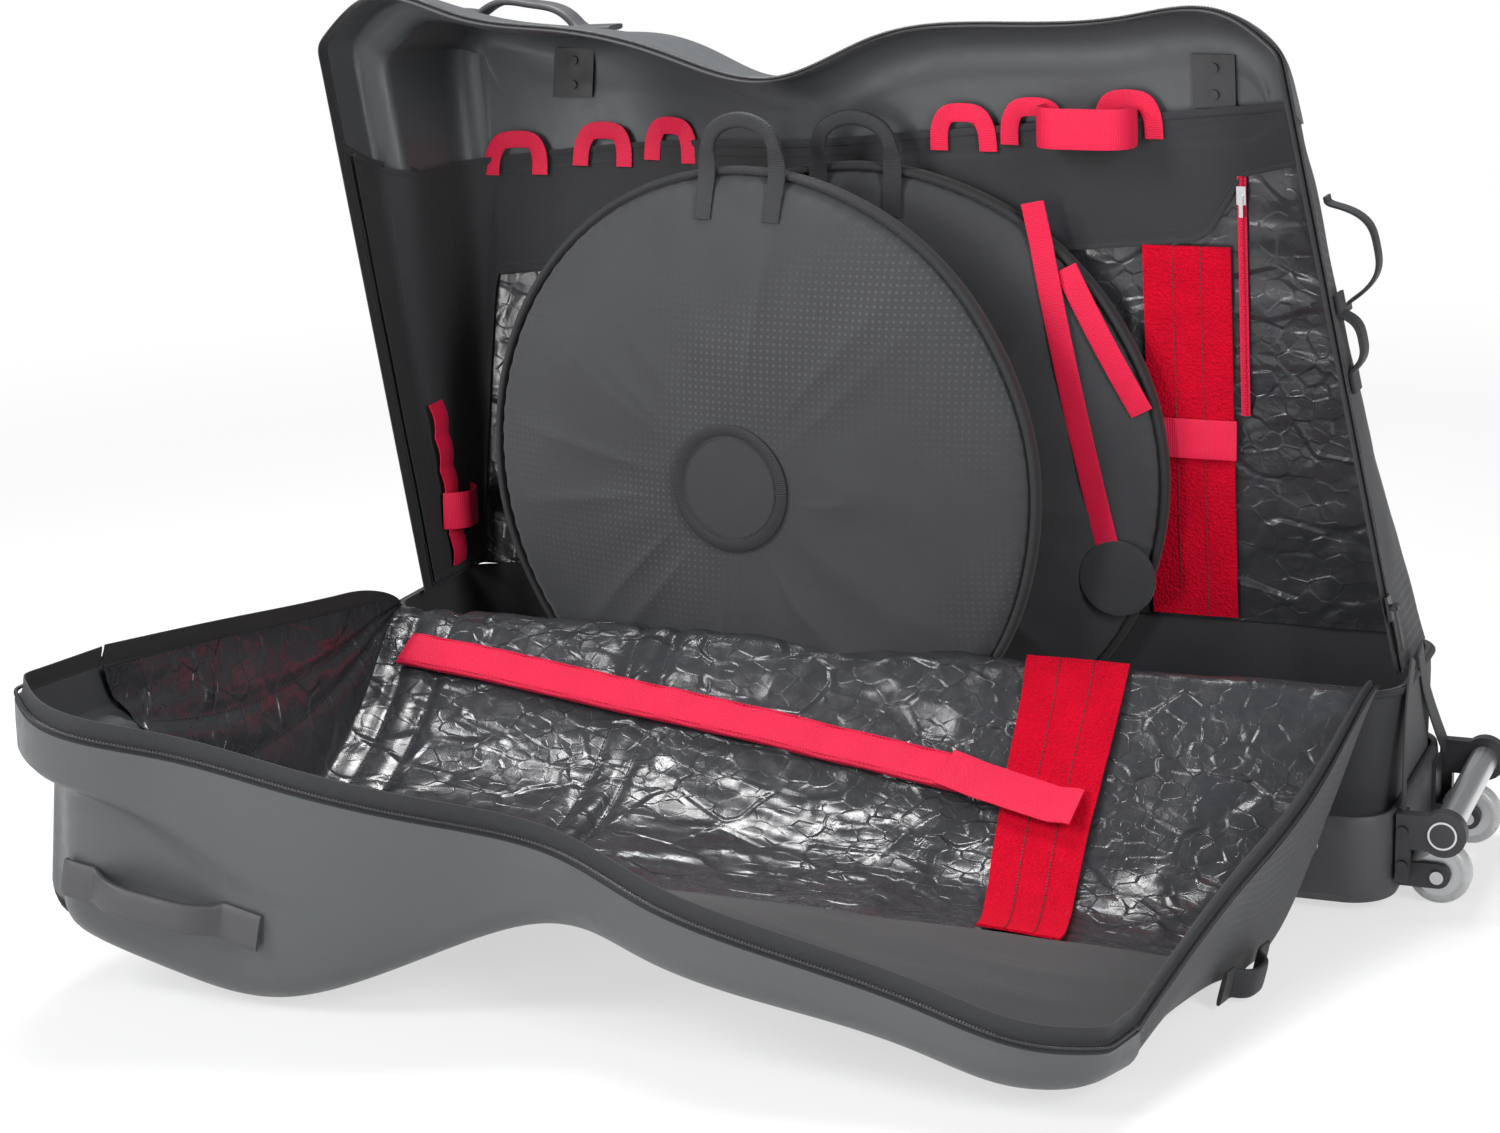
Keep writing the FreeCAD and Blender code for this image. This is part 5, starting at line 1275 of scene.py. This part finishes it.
class CASE_OT_zips(Operator):
    """Run the zip tapes and coils along both rims and the lid's soft sides"""

    bl_idname = "case.zips"
    bl_label = "Zips"

    def execute(self, context):
        rim = rim_line()
        ends = split_runs(rim, 0.0)
        runs = np.linspace(0, rim["run"][-1], 900)
        kept = np.linspace(ends[0], ends[1], 620)
        bands = (("case", "back", runs, np.asarray, UP, 0.0048, 0.0045),
                 ("lid", "lid", kept, opened, FRONT, 0.0084, 0.0085))
        for body, name, run, carried, outward, reach, crown in bands:
            rows = [wall_point(rim, run, depth, mixed(ZIP_SEAT, reach, share)) for depth, share in
                    ((0.016, 0.0), (0.0105, 0.6), (0.005, 0.85), (-0.25 * crown, 0.96), (-crown, 1.0))]
            cloth_piece(name + "_zip_band", carried(np.array(rows)), outward, BAND_THICK,
                        ("zip_tape",), body, (name + "_zip_tape",))
            coil = coil_piece(name + "_zip_coil", carried(wall_point(rim, run, COIL_DEPTH, ZIP_SEAT)),
                              carried(np.array([FRONT, ORIGIN])))
            dress(coil, ("coil",), body, (name + "_zip_teeth",), SHEET_CREASE)
        sides = lid_soft(230, 200, -0.02, 1.0)
        up = np.array(REAR) @ lid_turn().T
        strips, coils = [], []
        for side, column in ((-1, 0), (1, -1)):
            edge = sides[:, column]
            edge = np.concatenate([edge, edge[-1:] + 4 * (edge[-1:] - edge[-2:-1])])
            rise = mixed(0.3, 1.0, eased(np.arange(len(edge)) / 50))[:, None]
            rows = [edge + up * lift * rise - np.array((side * inset, 0, 0)) for lift, inset in SIDE_BAND]
            strips.append(thicken(sheet_piece("side_band", np.array(rows), (side, 0, 0.3)), BAND_THICK))
            coils.append(coil_piece("side_coil", edge + up * 0.0065 * rise - np.array((side * 0.0006, 0, 0)),
                                    np.stack([up, 0 * up])))
        band = joined("lid_side_zip_bands", strips)
        dress(band, ("zip_tape",), None, ("lid_side_tapes",), SHEET_CREASE)
        coil = dress(joined("lid_side_zip_coils", coils), ("coil",), None, (), SHEET_CREASE)
        fold_with_lid(band, coil)
        return {"FINISHED"}


def coil_piece(name, line, out):
    """A zip coil as a bead with a bump for each turn, looking from the second point of out to the first."""
    count = int(run_lengths(line)[-1] / COIL_STEP)
    bumps = COIL_RADIUS + COIL_BUMP * np.sin(np.arange(count) * 2 * math.pi / STEPS_PER_TURN)
    return strip_piece(name, evened(line, count), out[0] - out[1], bumps, bumps, *COIL_SECTION)


def slab_ring(low, high, front, back, bend, count):
    """A rounded rectangle in plan as a closed line."""
    turn = np.linspace(0, math.pi / 2, 12)
    arcs = []
    for index, (x, y) in enumerate(((high, back), (low, back), (low, front), (high, front))):
        across, along = around(bend, turn + index * math.pi / 2)
        middle = (x - bend * np.sign(x - (low + high) / 2), y - bend * np.sign(y - (front + back) / 2))
        arcs.append(np.stack([middle[0] + across, middle[1] + along], -1))
    line = np.concatenate(arcs + [arcs[0][:1]])
    return evened(line, count)


class CASE_OT_base(Operator):
    """Sew the padded tub under the case with its piping, and mould the boot at the rollers"""

    bl_idname = "case.base"
    bl_label = "Base"

    def execute(self, context):
        low, high = (np.array(corner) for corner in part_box("base_tub"))
        self.tub(low, high)
        self.piping(low, high)
        self.boot(*(np.array(corner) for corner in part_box("wheel_boot")))
        self.bracket_straps()
        return {"FINISHED"}

    def ring(self, low, high, rise, tuck, count):
        """The tub's outline in plan at a rise above its foot, drawn in by tuck."""
        front = mixed(low[1], TUB_FRONT_Y, min(1.0, rise / TUB_FRONT_RISE))
        ring = slab_ring(low[0] + tuck, high[0] - tuck, front + tuck, high[1] - tuck, TUB_BEND, count)
        return np.concatenate([ring, np.full((len(ring), 1), low[2] + rise)], 1)

    def tub(self, low, high):
        rows = []
        for rise in TUB_LEVELS + (high[2] - low[2],):
            tuck = TUB_TUCK * (1 - eased(rise / TUB_TUCK_RISE)) ** 2
            rows.append(self.ring(low, high, rise, tuck, 240))
        points = np.array(rows)
        swell = (0.002 * rumple(points, 0.09, 61))[..., None]
        points = points + swell * (points - points.mean((0, 1))) * (1, 1, 0) * 3
        tub = thicken(face_outwards(sheet_piece("base_tub_cloth", points)), TUB_THICK)
        dress(tub, ("panel_cloth",), "case", ("base_tub",), SHEET_CREASE)

    def piping(self, low, high):
        pipes = []
        for rise, tuck in ((0.016, -0.001), (high[2] - 0.004 - low[2], -0.0015)):
            path = self.ring(low, high, rise, tuck, 400)
            pipes.append(strip_piece("pipe", path, UP, PIPE_RADIUS, PIPE_RADIUS, *ROD_SECTION, True))
        dress(joined("base_piping", pipes), ("zip_tape",), "case")

    def boot(self, low, high):
        ring = slab_ring(-0.5, high[0], low[1], high[1], BOOT_BEND, 900)
        ring = ring[ring[:, 0] > low[0]]
        ring = np.roll(ring, -int(np.argmax(np.linalg.norm(np.diff(ring, axis=0), axis=1))) - 1, axis=0)
        top = mixed(BOOT_LOW_TOP, high[2], eased((ring[:, 0] - low[0]) / 0.1))
        middle = np.array((ring[:, 0].mean(), 0.0))
        rows = []
        for share in BOOT_SHARES:
            tuck = 0.008 * (1 - eased(share / 0.12)) + 0.004 * eased((share - 0.9) / 0.1)
            level = mixed(low[2], top, share)
            rows.append(np.concatenate([ring - (ring - middle) * (tuck / 0.15), level[:, None]], 1))
        boot = thicken(sheet_piece("wheel_boot_moulding", np.array(rows), RIGHT), BOOT_THICK)
        apply(boot, "BEVEL", width=0.0015, segments=2, limit_method="ANGLE")
        dress(boot, ("boot",), "case", ("wheel_boot",), PAD_CREASE)

    def bracket_straps(self):
        for side, name in ((-1, "near"), (1, "far")):
            path = curve_through(np.array(BRACKET_STRAP) * (1, side, 1), 40)
            strap = webbing("bracket_strap_" + name, path, RIGHT, *WEBBING["bracket"])
            dress(strap, ("black_web",), "case")


def bag_frame(which):
    """Carries points of a wheel bag's own frame, with X right, Y back and Z up, to the case."""
    middle, lean, axis = BAG_PLACES[which]
    turn = np.array(Matrix.Rotation(math.radians(lean), 3, axis))
    return lambda points: np.asarray(points) @ turn.T + np.array(middle)


def domed(reach, dome):
    """Half the thickness of a wheel bag at shares of its radius."""
    return size("bag_edge") + dome * (1 - reach ** 2) ** 0.8


def bag_front(which, x, z):
    """How far a wheel bag's front face stands out at places x, z of its own frame, without its folds."""
    reach = np.clip(np.hypot(x, z) / size("bag_radius"), 0, 1)
    return domed(reach, size("front_dome") if which == "front" else size("flat_dome"))


class CASE_OT_bags(Operator):
    """Sew the two padded wheel bags with bound edges, hub patches and webbing handles"""

    bl_idname = "case.bags"
    bl_label = "Wheel bags"

    def execute(self, context):
        for seed, which in enumerate(("front", "rear")):
            self.sew(which, bag_frame(which), 70 + 10 * seed)
        return {"FINISHED"}

    def sew(self, which, carried, seed):
        turn = np.linspace(0, 2 * math.pi, 321)
        self.cover(which, carried, seed, turn)
        self.binding(which, carried, turn)
        self.hub_patch(which, carried, seed, turn)
        self.handle(which, carried)

    def cover(self, which, carried, seed, turn):
        front, back = np.linspace(0, 1, 64) ** 0.8, np.linspace(1, 0, 26)[1:]
        reach = np.concatenate([front, back])[:, None]
        side = np.concatenate([np.ones(len(front)), -np.ones(len(back))])[:, None]
        x, z = around(size("bag_radius") * reach, turn)
        round_places = np.stack(np.broadcast_arrays(*around(1.0, turn), 0.35 * reach), -1)
        spread = eased((reach - 0.21) / 0.3) * eased((1 - reach) / 0.3)
        low = 0.45 + 0.55 * eased(0.5 - 0.7 * np.sin(turn))
        folds = 0.012 * spread * low * rumple(round_places, 0.42, seed)
        folds = folds + 0.009 * spread * low * creases(round_places, 0.3, seed + 1)
        folds = folds + 0.0022 * spread * rumple(np.stack([x, z, 0 * x], -1), 0.11, seed + 2)
        flat = domed(reach, size("flat_dome"))
        out = np.where(side > 0, bag_front(which, x, z) + folds, flat + 0.4 * folds)
        pinch = 0.0045 * eased((reach - 0.95) / 0.05)
        pucker = 0.0011 * np.sin(turn * 90) * eased((reach - 0.93) / 0.05)
        y = side * (pucker - np.where(reach > 0.999, 0.0, out - pinch))
        skin = sheet_piece(which + "_bag_cover", carried(np.stack([x, y, z], -1)), chart=np.stack([x, z], -1))
        cover = "bag_cloth" if which == "front" else "bag_plain"
        dress(face_outwards(skin), (cover,), "case", (which + "_bag_pad",), PAD_CREASE)

    def binding(self, which, carried, turn):
        x, z = around(size("bag_radius") + 0.0045, turn)
        ring = carried(np.stack([x, 0.0012 * np.sin(9 * turn), z], -1))
        outward = ring - carried([ORIGIN])
        binding = strip_piece(which + "_bag_edge", ring, outward, 0.0095, 0.0042, *BAG_EDGE_SECTION)
        dress(binding, ("zip_tape",), "case", (which + "_bag_binding",), SHEET_CREASE)

    def hub_patch(self, which, carried, seed, turn):
        reach = np.concatenate([np.linspace(0, 1, 14), [1.0]])[:, None]
        sink = np.concatenate([np.full(14, 0.0022), [-0.003]])[:, None]
        x, z = around(size("hub_radius") * reach, turn)
        lift = bag_front(which, x, z) + sink + 0.0006 * rumple(np.stack([x, z, 0 * x], -1), 0.03, seed + 4)
        places, chart = carried(np.stack([x, -lift, z], -1)), np.stack([x, z], -1)
        patch = sheet_piece(which + "_bag_patch", places, FRONT, chart)
        dress(patch, ("patch_cloth",), "case", (which + "_bag_hub_patch",), PAD_CREASE)
        line = carried(self.hub_line(which, 0.95, 0.003, turn))
        border = strip_piece(which + "_bag_patch_border", line, FRONT, 0.0062, 0.0014, *BAG_EDGE_SECTION)
        dress(border, ("black_web",), "case")
        rings = [(carried(self.hub_line(which, share, 0.0022, turn)), np.tile(FRONT, (len(turn), 1)))
                 for share in (0.82, 0.86)]
        dress(stitches(which + "_bag_patch_thread", rings), ("black_thread",), "case")

    def hub_line(self, which, share, lift, turn):
        """A circle over the hub patch at a share of its radius."""
        x, z = around(size("hub_radius") * share, turn)
        return np.stack([x, -bag_front(which, x, z) - lift, z], -1)

    def handle(self, which, carried):
        half = np.array(BAG_HANDLE)
        x, rise = curve_through(np.concatenate([half * (-1, 1), half[-2::-1]]), 120).T
        z = size("bag_radius") + rise
        out = bag_front(which, x, z) + 0.003
        path = np.stack([x, -np.where(rise > -0.004, 0.012, out), z], -1)
        path[:, 1] = rounded(path[:, 1:2], 8)[:, 0]
        grip = eased((rise - 0.012) / 0.02)
        handle = strip_piece(which + "_bag_strap", carried(path), carried([FRONT]) - carried([ORIGIN]),
                             mixed(0.0105, 0.0085, grip), mixed(0.0012, 0.0042, grip), 12, 4.0)
        dress(handle, ("black_web",), "case", (which + "_bag_handle",), PAD_CREASE)


def back_spot(x, z, gap):
    """Places inside the back half, gap in front of its face."""
    x, z = np.asarray(x, float) + 0 * np.asarray(z), np.asarray(z, float) + 0 * np.asarray(x)
    return np.stack([x, face_depth(x, z) - gap, z], -1)


class CASE_OT_red_webbing(Operator):
    """Lay the red loop tape, straps, tabs and sleeve"""

    bl_idname = "case.red_webbing"
    bl_label = "Red webbing"

    def execute(self, context):
        self.back_panel(*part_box("back_loop_panel"))
        self.pocket_zip(*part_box("pocket_zip_tape"))
        self.tabs()
        self.daisy_chain(flap_points())
        self.saddle_loop(*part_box("saddle_loop"))
        self.lid_webbing(lid_lining_points())
        self.frame_straps(bag_frame("rear"))
        self.strap_pad(*(np.array(corner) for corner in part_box("strap_pad")))
        return {"FINISHED"}

    def back_panel(self, low, high):
        x = np.linspace(low[0], high[0], 30)[None, :]
        z = np.linspace(low[2], high[2], 120)[:, None]
        points = back_spot(x, z, LOOP_GAP)
        points = shifted(points, 0.0012 * rumple(points, 0.06, 91), FRONT)
        panel = thicken(sheet_piece("back_loop_tape", points, FRONT), LOOP_THICK)
        dress(panel, ("red_loop",), "case", ("back_loop_panel",))
        z = np.linspace(low[2], high[2], 80)
        lines = [(back_spot(mixed(low[0], high[0], share), z, LOOP_THREAD_GAP), np.tile(FRONT, (len(z), 1)))
                 for share in (0.34, 0.66)]
        dress(stitches("back_loop_thread", lines), ("black_thread",), "case")

    def pocket_zip(self, low, high):
        path = back_spot((low[0] + high[0]) / 2, np.linspace(low[2], high[2], 60), POCKET_GAP)
        tape = webbing("pocket_zip_band", path, FRONT, high[0] - low[0], 0.0016)
        coil = coil_piece("pocket_zip_coil", path + np.array((0, -0.0022, 0)), np.array([FRONT, ORIGIN]))
        band = joined("pocket_zip_band", [tape, coil])
        dress(band, ("red_web",), "case", ("pocket_zip_tape",))

    def tabs(self):
        line = curve_through(TAB_LINE, 60)
        tabs = []
        for share in TAB_SHARES:
            x = mixed(-size("top_left"), size("top_right"), share)
            path = back_spot(x + line[:, 0], flap_level(x) + line[:, 1], TAB_GAP)
            tabs.append(webbing("tab", path, FRONT, *WEBBING["tab"]))
        places = np.linspace(0.372, 0.258, 40)
        swing = eased((0.3 - places) / 0.04)
        path = back_spot(places, 0.427 - 0.006 * swing, 0.0185 + 0.008 * swing)
        tabs.append(webbing("end_strap", path, FRONT, *WEBBING["end_strap"]))
        dress(joined("red_strap_tabs", tabs), ("red_web",), "case", ("strap_tabs",))

    def daisy_chain(self, leg):
        turn = np.linspace(0, 1, 90)
        ripple = 0.0035 * np.abs(np.sin(turn * math.pi * 5))
        path = picked(leg, mixed(0.57, 0.985, turn), mixed(0.046, 0.055, turn))
        path = rounded(path, 6) + np.stack([0.002 + ripple, 0 * turn, 0 * turn], -1)
        chain = webbing("chain", path, RIGHT, *WEBBING["chain"])
        turn = np.linspace(0, 1, 40)
        bow = 0.004 + 0.018 * np.sin(turn * math.pi) ** 0.6
        path = picked(leg, 0.843 + 0 * turn, mixed(0.036, 0.088, turn))
        path = path + np.stack([bow, 0 * turn, 0 * turn], -1)
        loop = webbing("loop", path, RIGHT, *WEBBING["chain_loop"])
        dress(joined("daisy_webbing", [chain, loop]), ("red_web",), "case", ("daisy_chain",))

    def saddle_loop(self, low, high):
        middle = np.array(((low[0] + high[0]) / 2, high[1], (low[2] + high[2]) / 2))
        leg = ((0.004, high[1]), (0.002, low[1] + 0.02), (0.02, low[1] + 0.002))
        places = [(low[0] + inset, y) for inset, y in leg]
        places.append((middle[0], low[1] + 0.0005))
        places += [(high[0] - inset, y) for inset, y in reversed(leg)]
        line = curve_through(places, 90)
        path = np.concatenate([line, np.full((len(line), 1), middle[2])], 1)
        loop = strip_piece("saddle_webbing", path, path - middle, (high[2] - low[2]) / 2 - 0.0005, 0.0016)
        dress(loop, ("red_web",), "case", ("saddle_loop",))

    def lid_webbing(self, points):
        panel, thread = self.lid_loop_panel(points)
        sleeve, seam = self.lid_sleeve(points)
        turn = np.linspace(0, 1, 60)
        path = rounded(lid_spot(points, mixed(0.83, 0.93, turn), mixed(0.635, 0.775, turn), 0.0145), 6)
        path = path + np.array((0, -0.2, 0.9)) * (0.006 * eased((turn - 0.8) / 0.2))[:, None]
        strap = webbing("lid_end_strap", path, LID_LIFT, *WEBBING["lid_strap"])
        dress(strap, ("red_web",))
        fold_with_lid(panel, thread, sleeve, seam, strap)

    def lid_loop_panel(self, points):
        row = np.linspace(-0.02, 2.02, 110)
        knots = np.arange(3)
        low, high = (np.interp(row, knots, shares)[:, None] for shares in LID_LOOP_SHARES)
        share = mixed(low, high, np.linspace(0, 1, 28)[None, :])
        spots = lid_spot(points, row[:, None] + 0 * share, share, 0.0085)
        smooth = np.stack([rounded(spots[:, index], 5) for index in range(spots.shape[1])], 1)
        smooth = np.stack([rounded(line, 4) for line in smooth])
        panel = thicken(sheet_piece("lid_loop_tape", smooth, UP), LOOP_THICK)
        dress(panel, ("red_loop",), None, ("lid_loop_panel",))
        normal = np.tile((0, -0.4, 0.9), (len(row), 1))
        lines = [(smooth[:, column] + np.array((0, 0, 0.0004)), normal) for column in (9, 18)]
        return panel, dress(stitches("lid_loop_thread", lines), ("black_thread",))

    def lid_sleeve(self, points):
        turn = np.linspace(0, 1, 160)
        path = rounded(lid_spot(points, mixed(0.6, 0.84, turn), mixed(0.035, 0.655, turn), 0.009), 9)
        across, lift = framed(path, LID_LIFT)
        plump = 0.0055 + 0.0009 * np.sin(turn * 80) + 0.0008 * rumple(path, 0.02, 95)
        plump = plump * mixed(0.35, 1.0, eased(np.minimum(turn, 1 - turn) / 0.02))
        sleeve = swept_piece("lid_red_sleeve", path, across, lift, 0.022, plump, 16, 3.4)
        dress(sleeve, ("red_web",), None, ("lid_sleeve",))
        lines = [(path + across * side * 0.0185 + lift * 0.0042, lift) for side in (-1, 1)]
        return sleeve, dress(stitches("lid_sleeve_thread", lines), ("red_web",))

    def frame_straps(self, carried):
        radius = size("bag_radius")
        turn = np.linspace(0, 1, 60)
        straps = []
        for first, last in FRAME_STRAPS:
            x, z = mixed(first[0], last[0], turn) * radius, mixed(first[1], last[1], turn) * radius
            y = -bag_front("rear", x, z) - 0.004 - 0.003 * np.sin(turn * math.pi)
            straps.append(strip_piece("strap", carried(np.stack([x, y, z], -1)), FRONT, 0.013, 0.0012))
        dress(joined("frame_webbing", straps), ("red_web",), "case", ("frame_straps",))

    def strap_pad(self, low, high):
        turn = np.linspace(0, 2 * math.pi, 97)
        share, rise = (np.array(values)[:, None] for values in (PAD_SHARES, PAD_RISES))
        x, z = around((high[0] - low[0]) / 2 * share, turn)
        lean = math.tan(math.radians(BAG_PLACES["rear"][1]))
        spots = (low + high) / 2 + np.stack([x, -rise - z * lean + 0 * turn, z], -1)
        pad = face_outwards(sheet_piece("strap_round_pad", spots, chart=np.stack([x, z], -1)))
        dress(pad, ("patch_cloth",), "case", ("strap_pad",), PAD_CREASE)


def arch(length_of, rise, foot):
    """Places along a strap handle and its height above the seat, flat at both feet."""
    place = np.linspace(-0.5, 0.5, 90) * length_of
    inner = length_of / 2 - foot
    height = rise * np.clip(1 - (np.abs(place) / inner) ** 3.2, 0, 1)
    return place, np.where(np.abs(place) < inner, height, 0.0)


class CASE_OT_handles(Operator):
    """Mould the strap handles, the wrap handles and the webbing loop at the end"""

    bl_idname = "case.handles"
    bl_label = "Handles"

    def execute(self, context):
        rim = rim_line()
        for body, name, carried in (("case", "back", np.asarray), ("lid", "lid", opened)):
            run = run_over_hump(rim, STRAP_X)
            handle = self.strap(rim, run, STRAP_DEPTH, STRAP_SHAPE, STRAP_SECTION, carried)
            dress(handle, ("rubber",), body, (name + "_handle",), HANDLE_CREASE)
            handle.name = name + "_strap_handle"
            run = rim["run"][-1] - rim["run"][WRAP_STEP]
            wrap = self.strap(rim, run, WRAP_DEPTH, WRAP_SHAPE, WRAP_SECTION, carried)
            dress(wrap, ("black_web",), body, (name + "_wrap_handles",), HANDLE_CREASE)
            wrap.name = name + "_wrap"
        run = rim["run"][-1] - rim["run"][LOOP_STEP]
        loop = self.strap(rim, run, LOOP_DEPTH, LOOP_SHAPE, LOOP_SECTION, np.asarray)
        dress(loop, ("black_web",), "case", ("webbing_handle",), HANDLE_CREASE)
        loop.name = "end_webbing_loop"
        return {"FINISHED"}

    def strap(self, rim, run, depth, shape, section_size, carried):
        place, height = arch(*shape)
        foot = np.abs(place) > shape[0] / 2 - shape[2]
        seat = wall_point(rim, run + place, np.full(len(place), depth), 0.0)
        nx, nz = (np.interp(run + place, rim["run"], rim[key]) for key in ("nx", "nz"))
        lift = np.stack([-nx, 0 * nx, -nz], -1)
        half_thick = np.where(foot, section_size[1] * 0.8, section_size[1])
        path = seat + lift * (rounded(height[:, None], 3) + section_size[1])
        wide = np.where(foot, section_size[0], section_size[0] * 0.84)
        wide = rounded(wide[:, None], 2)[:, 0]
        lift = carried(lift) - carried(np.array([ORIGIN]))
        return strip_piece("strap_handle", carried(path), lift, wide, half_thick, 16, 4.0)


class CASE_OT_fittings(Operator):
    """Finish the plates, screws, boards, brackets, tube, rollers and sliders"""

    bl_idname = "case.fittings"
    bl_label = "Fittings"

    def execute(self, context):
        for name, nodes in FITTINGS.items():
            for node in nodes:
                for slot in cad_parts[node].material_slots:
                    slot.material = finish(name)
        return {"FINISHED"}


class CASE_OT_stage(Operator):
    """Set the floor, the lamps and the camera"""

    bl_idname = "case.stage"
    bl_label = "Stage"

    def execute(self, context):
        reach = np.linspace(-FLOOR_REACH, FLOOR_REACH, 25)
        across, along = np.meshgrid(reach, reach)
        floor = np.stack([across, along, 0 * across], -1)
        piece = sheet_piece("studio_floor", floor, UP)
        piece.data.materials.append(finish("studio_floor"))
        bpy.ops.object.shade_smooth()
        world = bpy.data.worlds.new("studio")
        context.scene.world = world
        world.use_nodes = True
        sky = world.node_tree.nodes["Background"]
        sky.inputs["Color"].default_value = WORLD_TINT
        sky.inputs["Strength"].default_value = WORLD_LEVEL
        for name, (place, (wide, tall), power) in LAMPS.items():
            lamp = bpy.data.lights.new(name, "AREA")
            lamp.shape = "RECTANGLE"
            lamp.energy, lamp.size, lamp.size_y = power, wide, tall
            shown = bpy.data.objects.new(name, lamp)
            shown.location = place
            shown.rotation_euler = (Vector(LAMP_AIM) - shown.location).to_track_quat("-Z", "Y").to_euler()
            context.scene.collection.objects.link(shown)
        place_camera(context.scene)
        context.scene.view_settings.view_transform = "Standard"
        return {"FINISHED"}


def place_camera(scene):
    """Stands the camera where the photograph was taken from."""
    angles = (CAMERA_AZIMUTH, CAMERA_ELEVATION, CAMERA_ROLL)
    azimuth, elevation, roll = (math.radians(degrees) for degrees in angles)
    back = Vector((math.sin(azimuth) * math.cos(elevation), -math.cos(azimuth) * math.cos(elevation),
                   math.sin(elevation)))
    level = Vector((math.cos(azimuth), math.sin(azimuth), 0))
    up = back.cross(level)
    right = level * math.cos(roll) + up * math.sin(roll)
    up = up * math.cos(roll) - level * math.sin(roll)
    lens = bpy.data.cameras.new("camera")
    lens.sensor_width = SENSOR_WIDTH
    lens.lens = FOCAL_PIXELS * lens.sensor_width / PHOTO_WIDTH
    lens.shift_x = (PHOTO_WIDTH / 2 - AXIS_X_PIXEL) / PHOTO_WIDTH
    lens.shift_y = (AXIS_Y_PIXEL - PHOTO_HEIGHT / 2) / PHOTO_WIDTH
    camera = bpy.data.objects.new("camera", lens)
    place = Vector(CAMERA_TARGET) + back * CAMERA_DISTANCE
    camera.matrix_world = Matrix.Translation(place) @ Matrix((right, up, back)).transposed().to_4x4()
    scene.collection.objects.link(camera)
    scene.camera = camera


OPERATORS = (CASE_OT_shells, CASE_OT_panels, CASE_OT_linings, CASE_OT_zips, CASE_OT_base, CASE_OT_bags,
             CASE_OT_red_webbing, CASE_OT_handles, CASE_OT_fittings, CASE_OT_stage)


class CASE_PT_pieces(Panel):
    """Lists the pieces of the case with their sizes and colours"""

    bl_idname = "CASE_PT_pieces"
    bl_label = "Travel case"
    bl_space_type = "VIEW_3D"
    bl_region_type = "UI"
    bl_category = "Travel case"

    def draw(self, context):
        for kind in OPERATORS:
            self.layout.operator(kind.bl_idname)
        for group in (context.scene.case_sizes, context.scene.case_colours):
            for key in group.__annotations__:
                self.layout.prop(group, key)


CLASSES = (CaseSizes, CaseColours) + OPERATORS + (CASE_PT_pieces,)


def register():
    for kind in CLASSES:
        bpy.utils.register_class(kind)
    bpy.types.Scene.case_sizes = PointerProperty(type=CaseSizes)
    bpy.types.Scene.case_colours = PointerProperty(type=CaseColours)


def unregister():
    del bpy.types.Scene.case_sizes
    del bpy.types.Scene.case_colours
    for kind in reversed(CLASSES):
        bpy.utils.unregister_class(kind)


def main():
    register()
    bpy.ops.case.shells()
    bpy.ops.case.panels()
    bpy.ops.case.linings()
    bpy.ops.case.zips()
    bpy.ops.case.base()
    bpy.ops.case.bags()
    bpy.ops.case.red_webbing()
    bpy.ops.case.handles()
    bpy.ops.case.fittings()
    bpy.ops.case.stage()


if __name__ == "__main__":
    main()
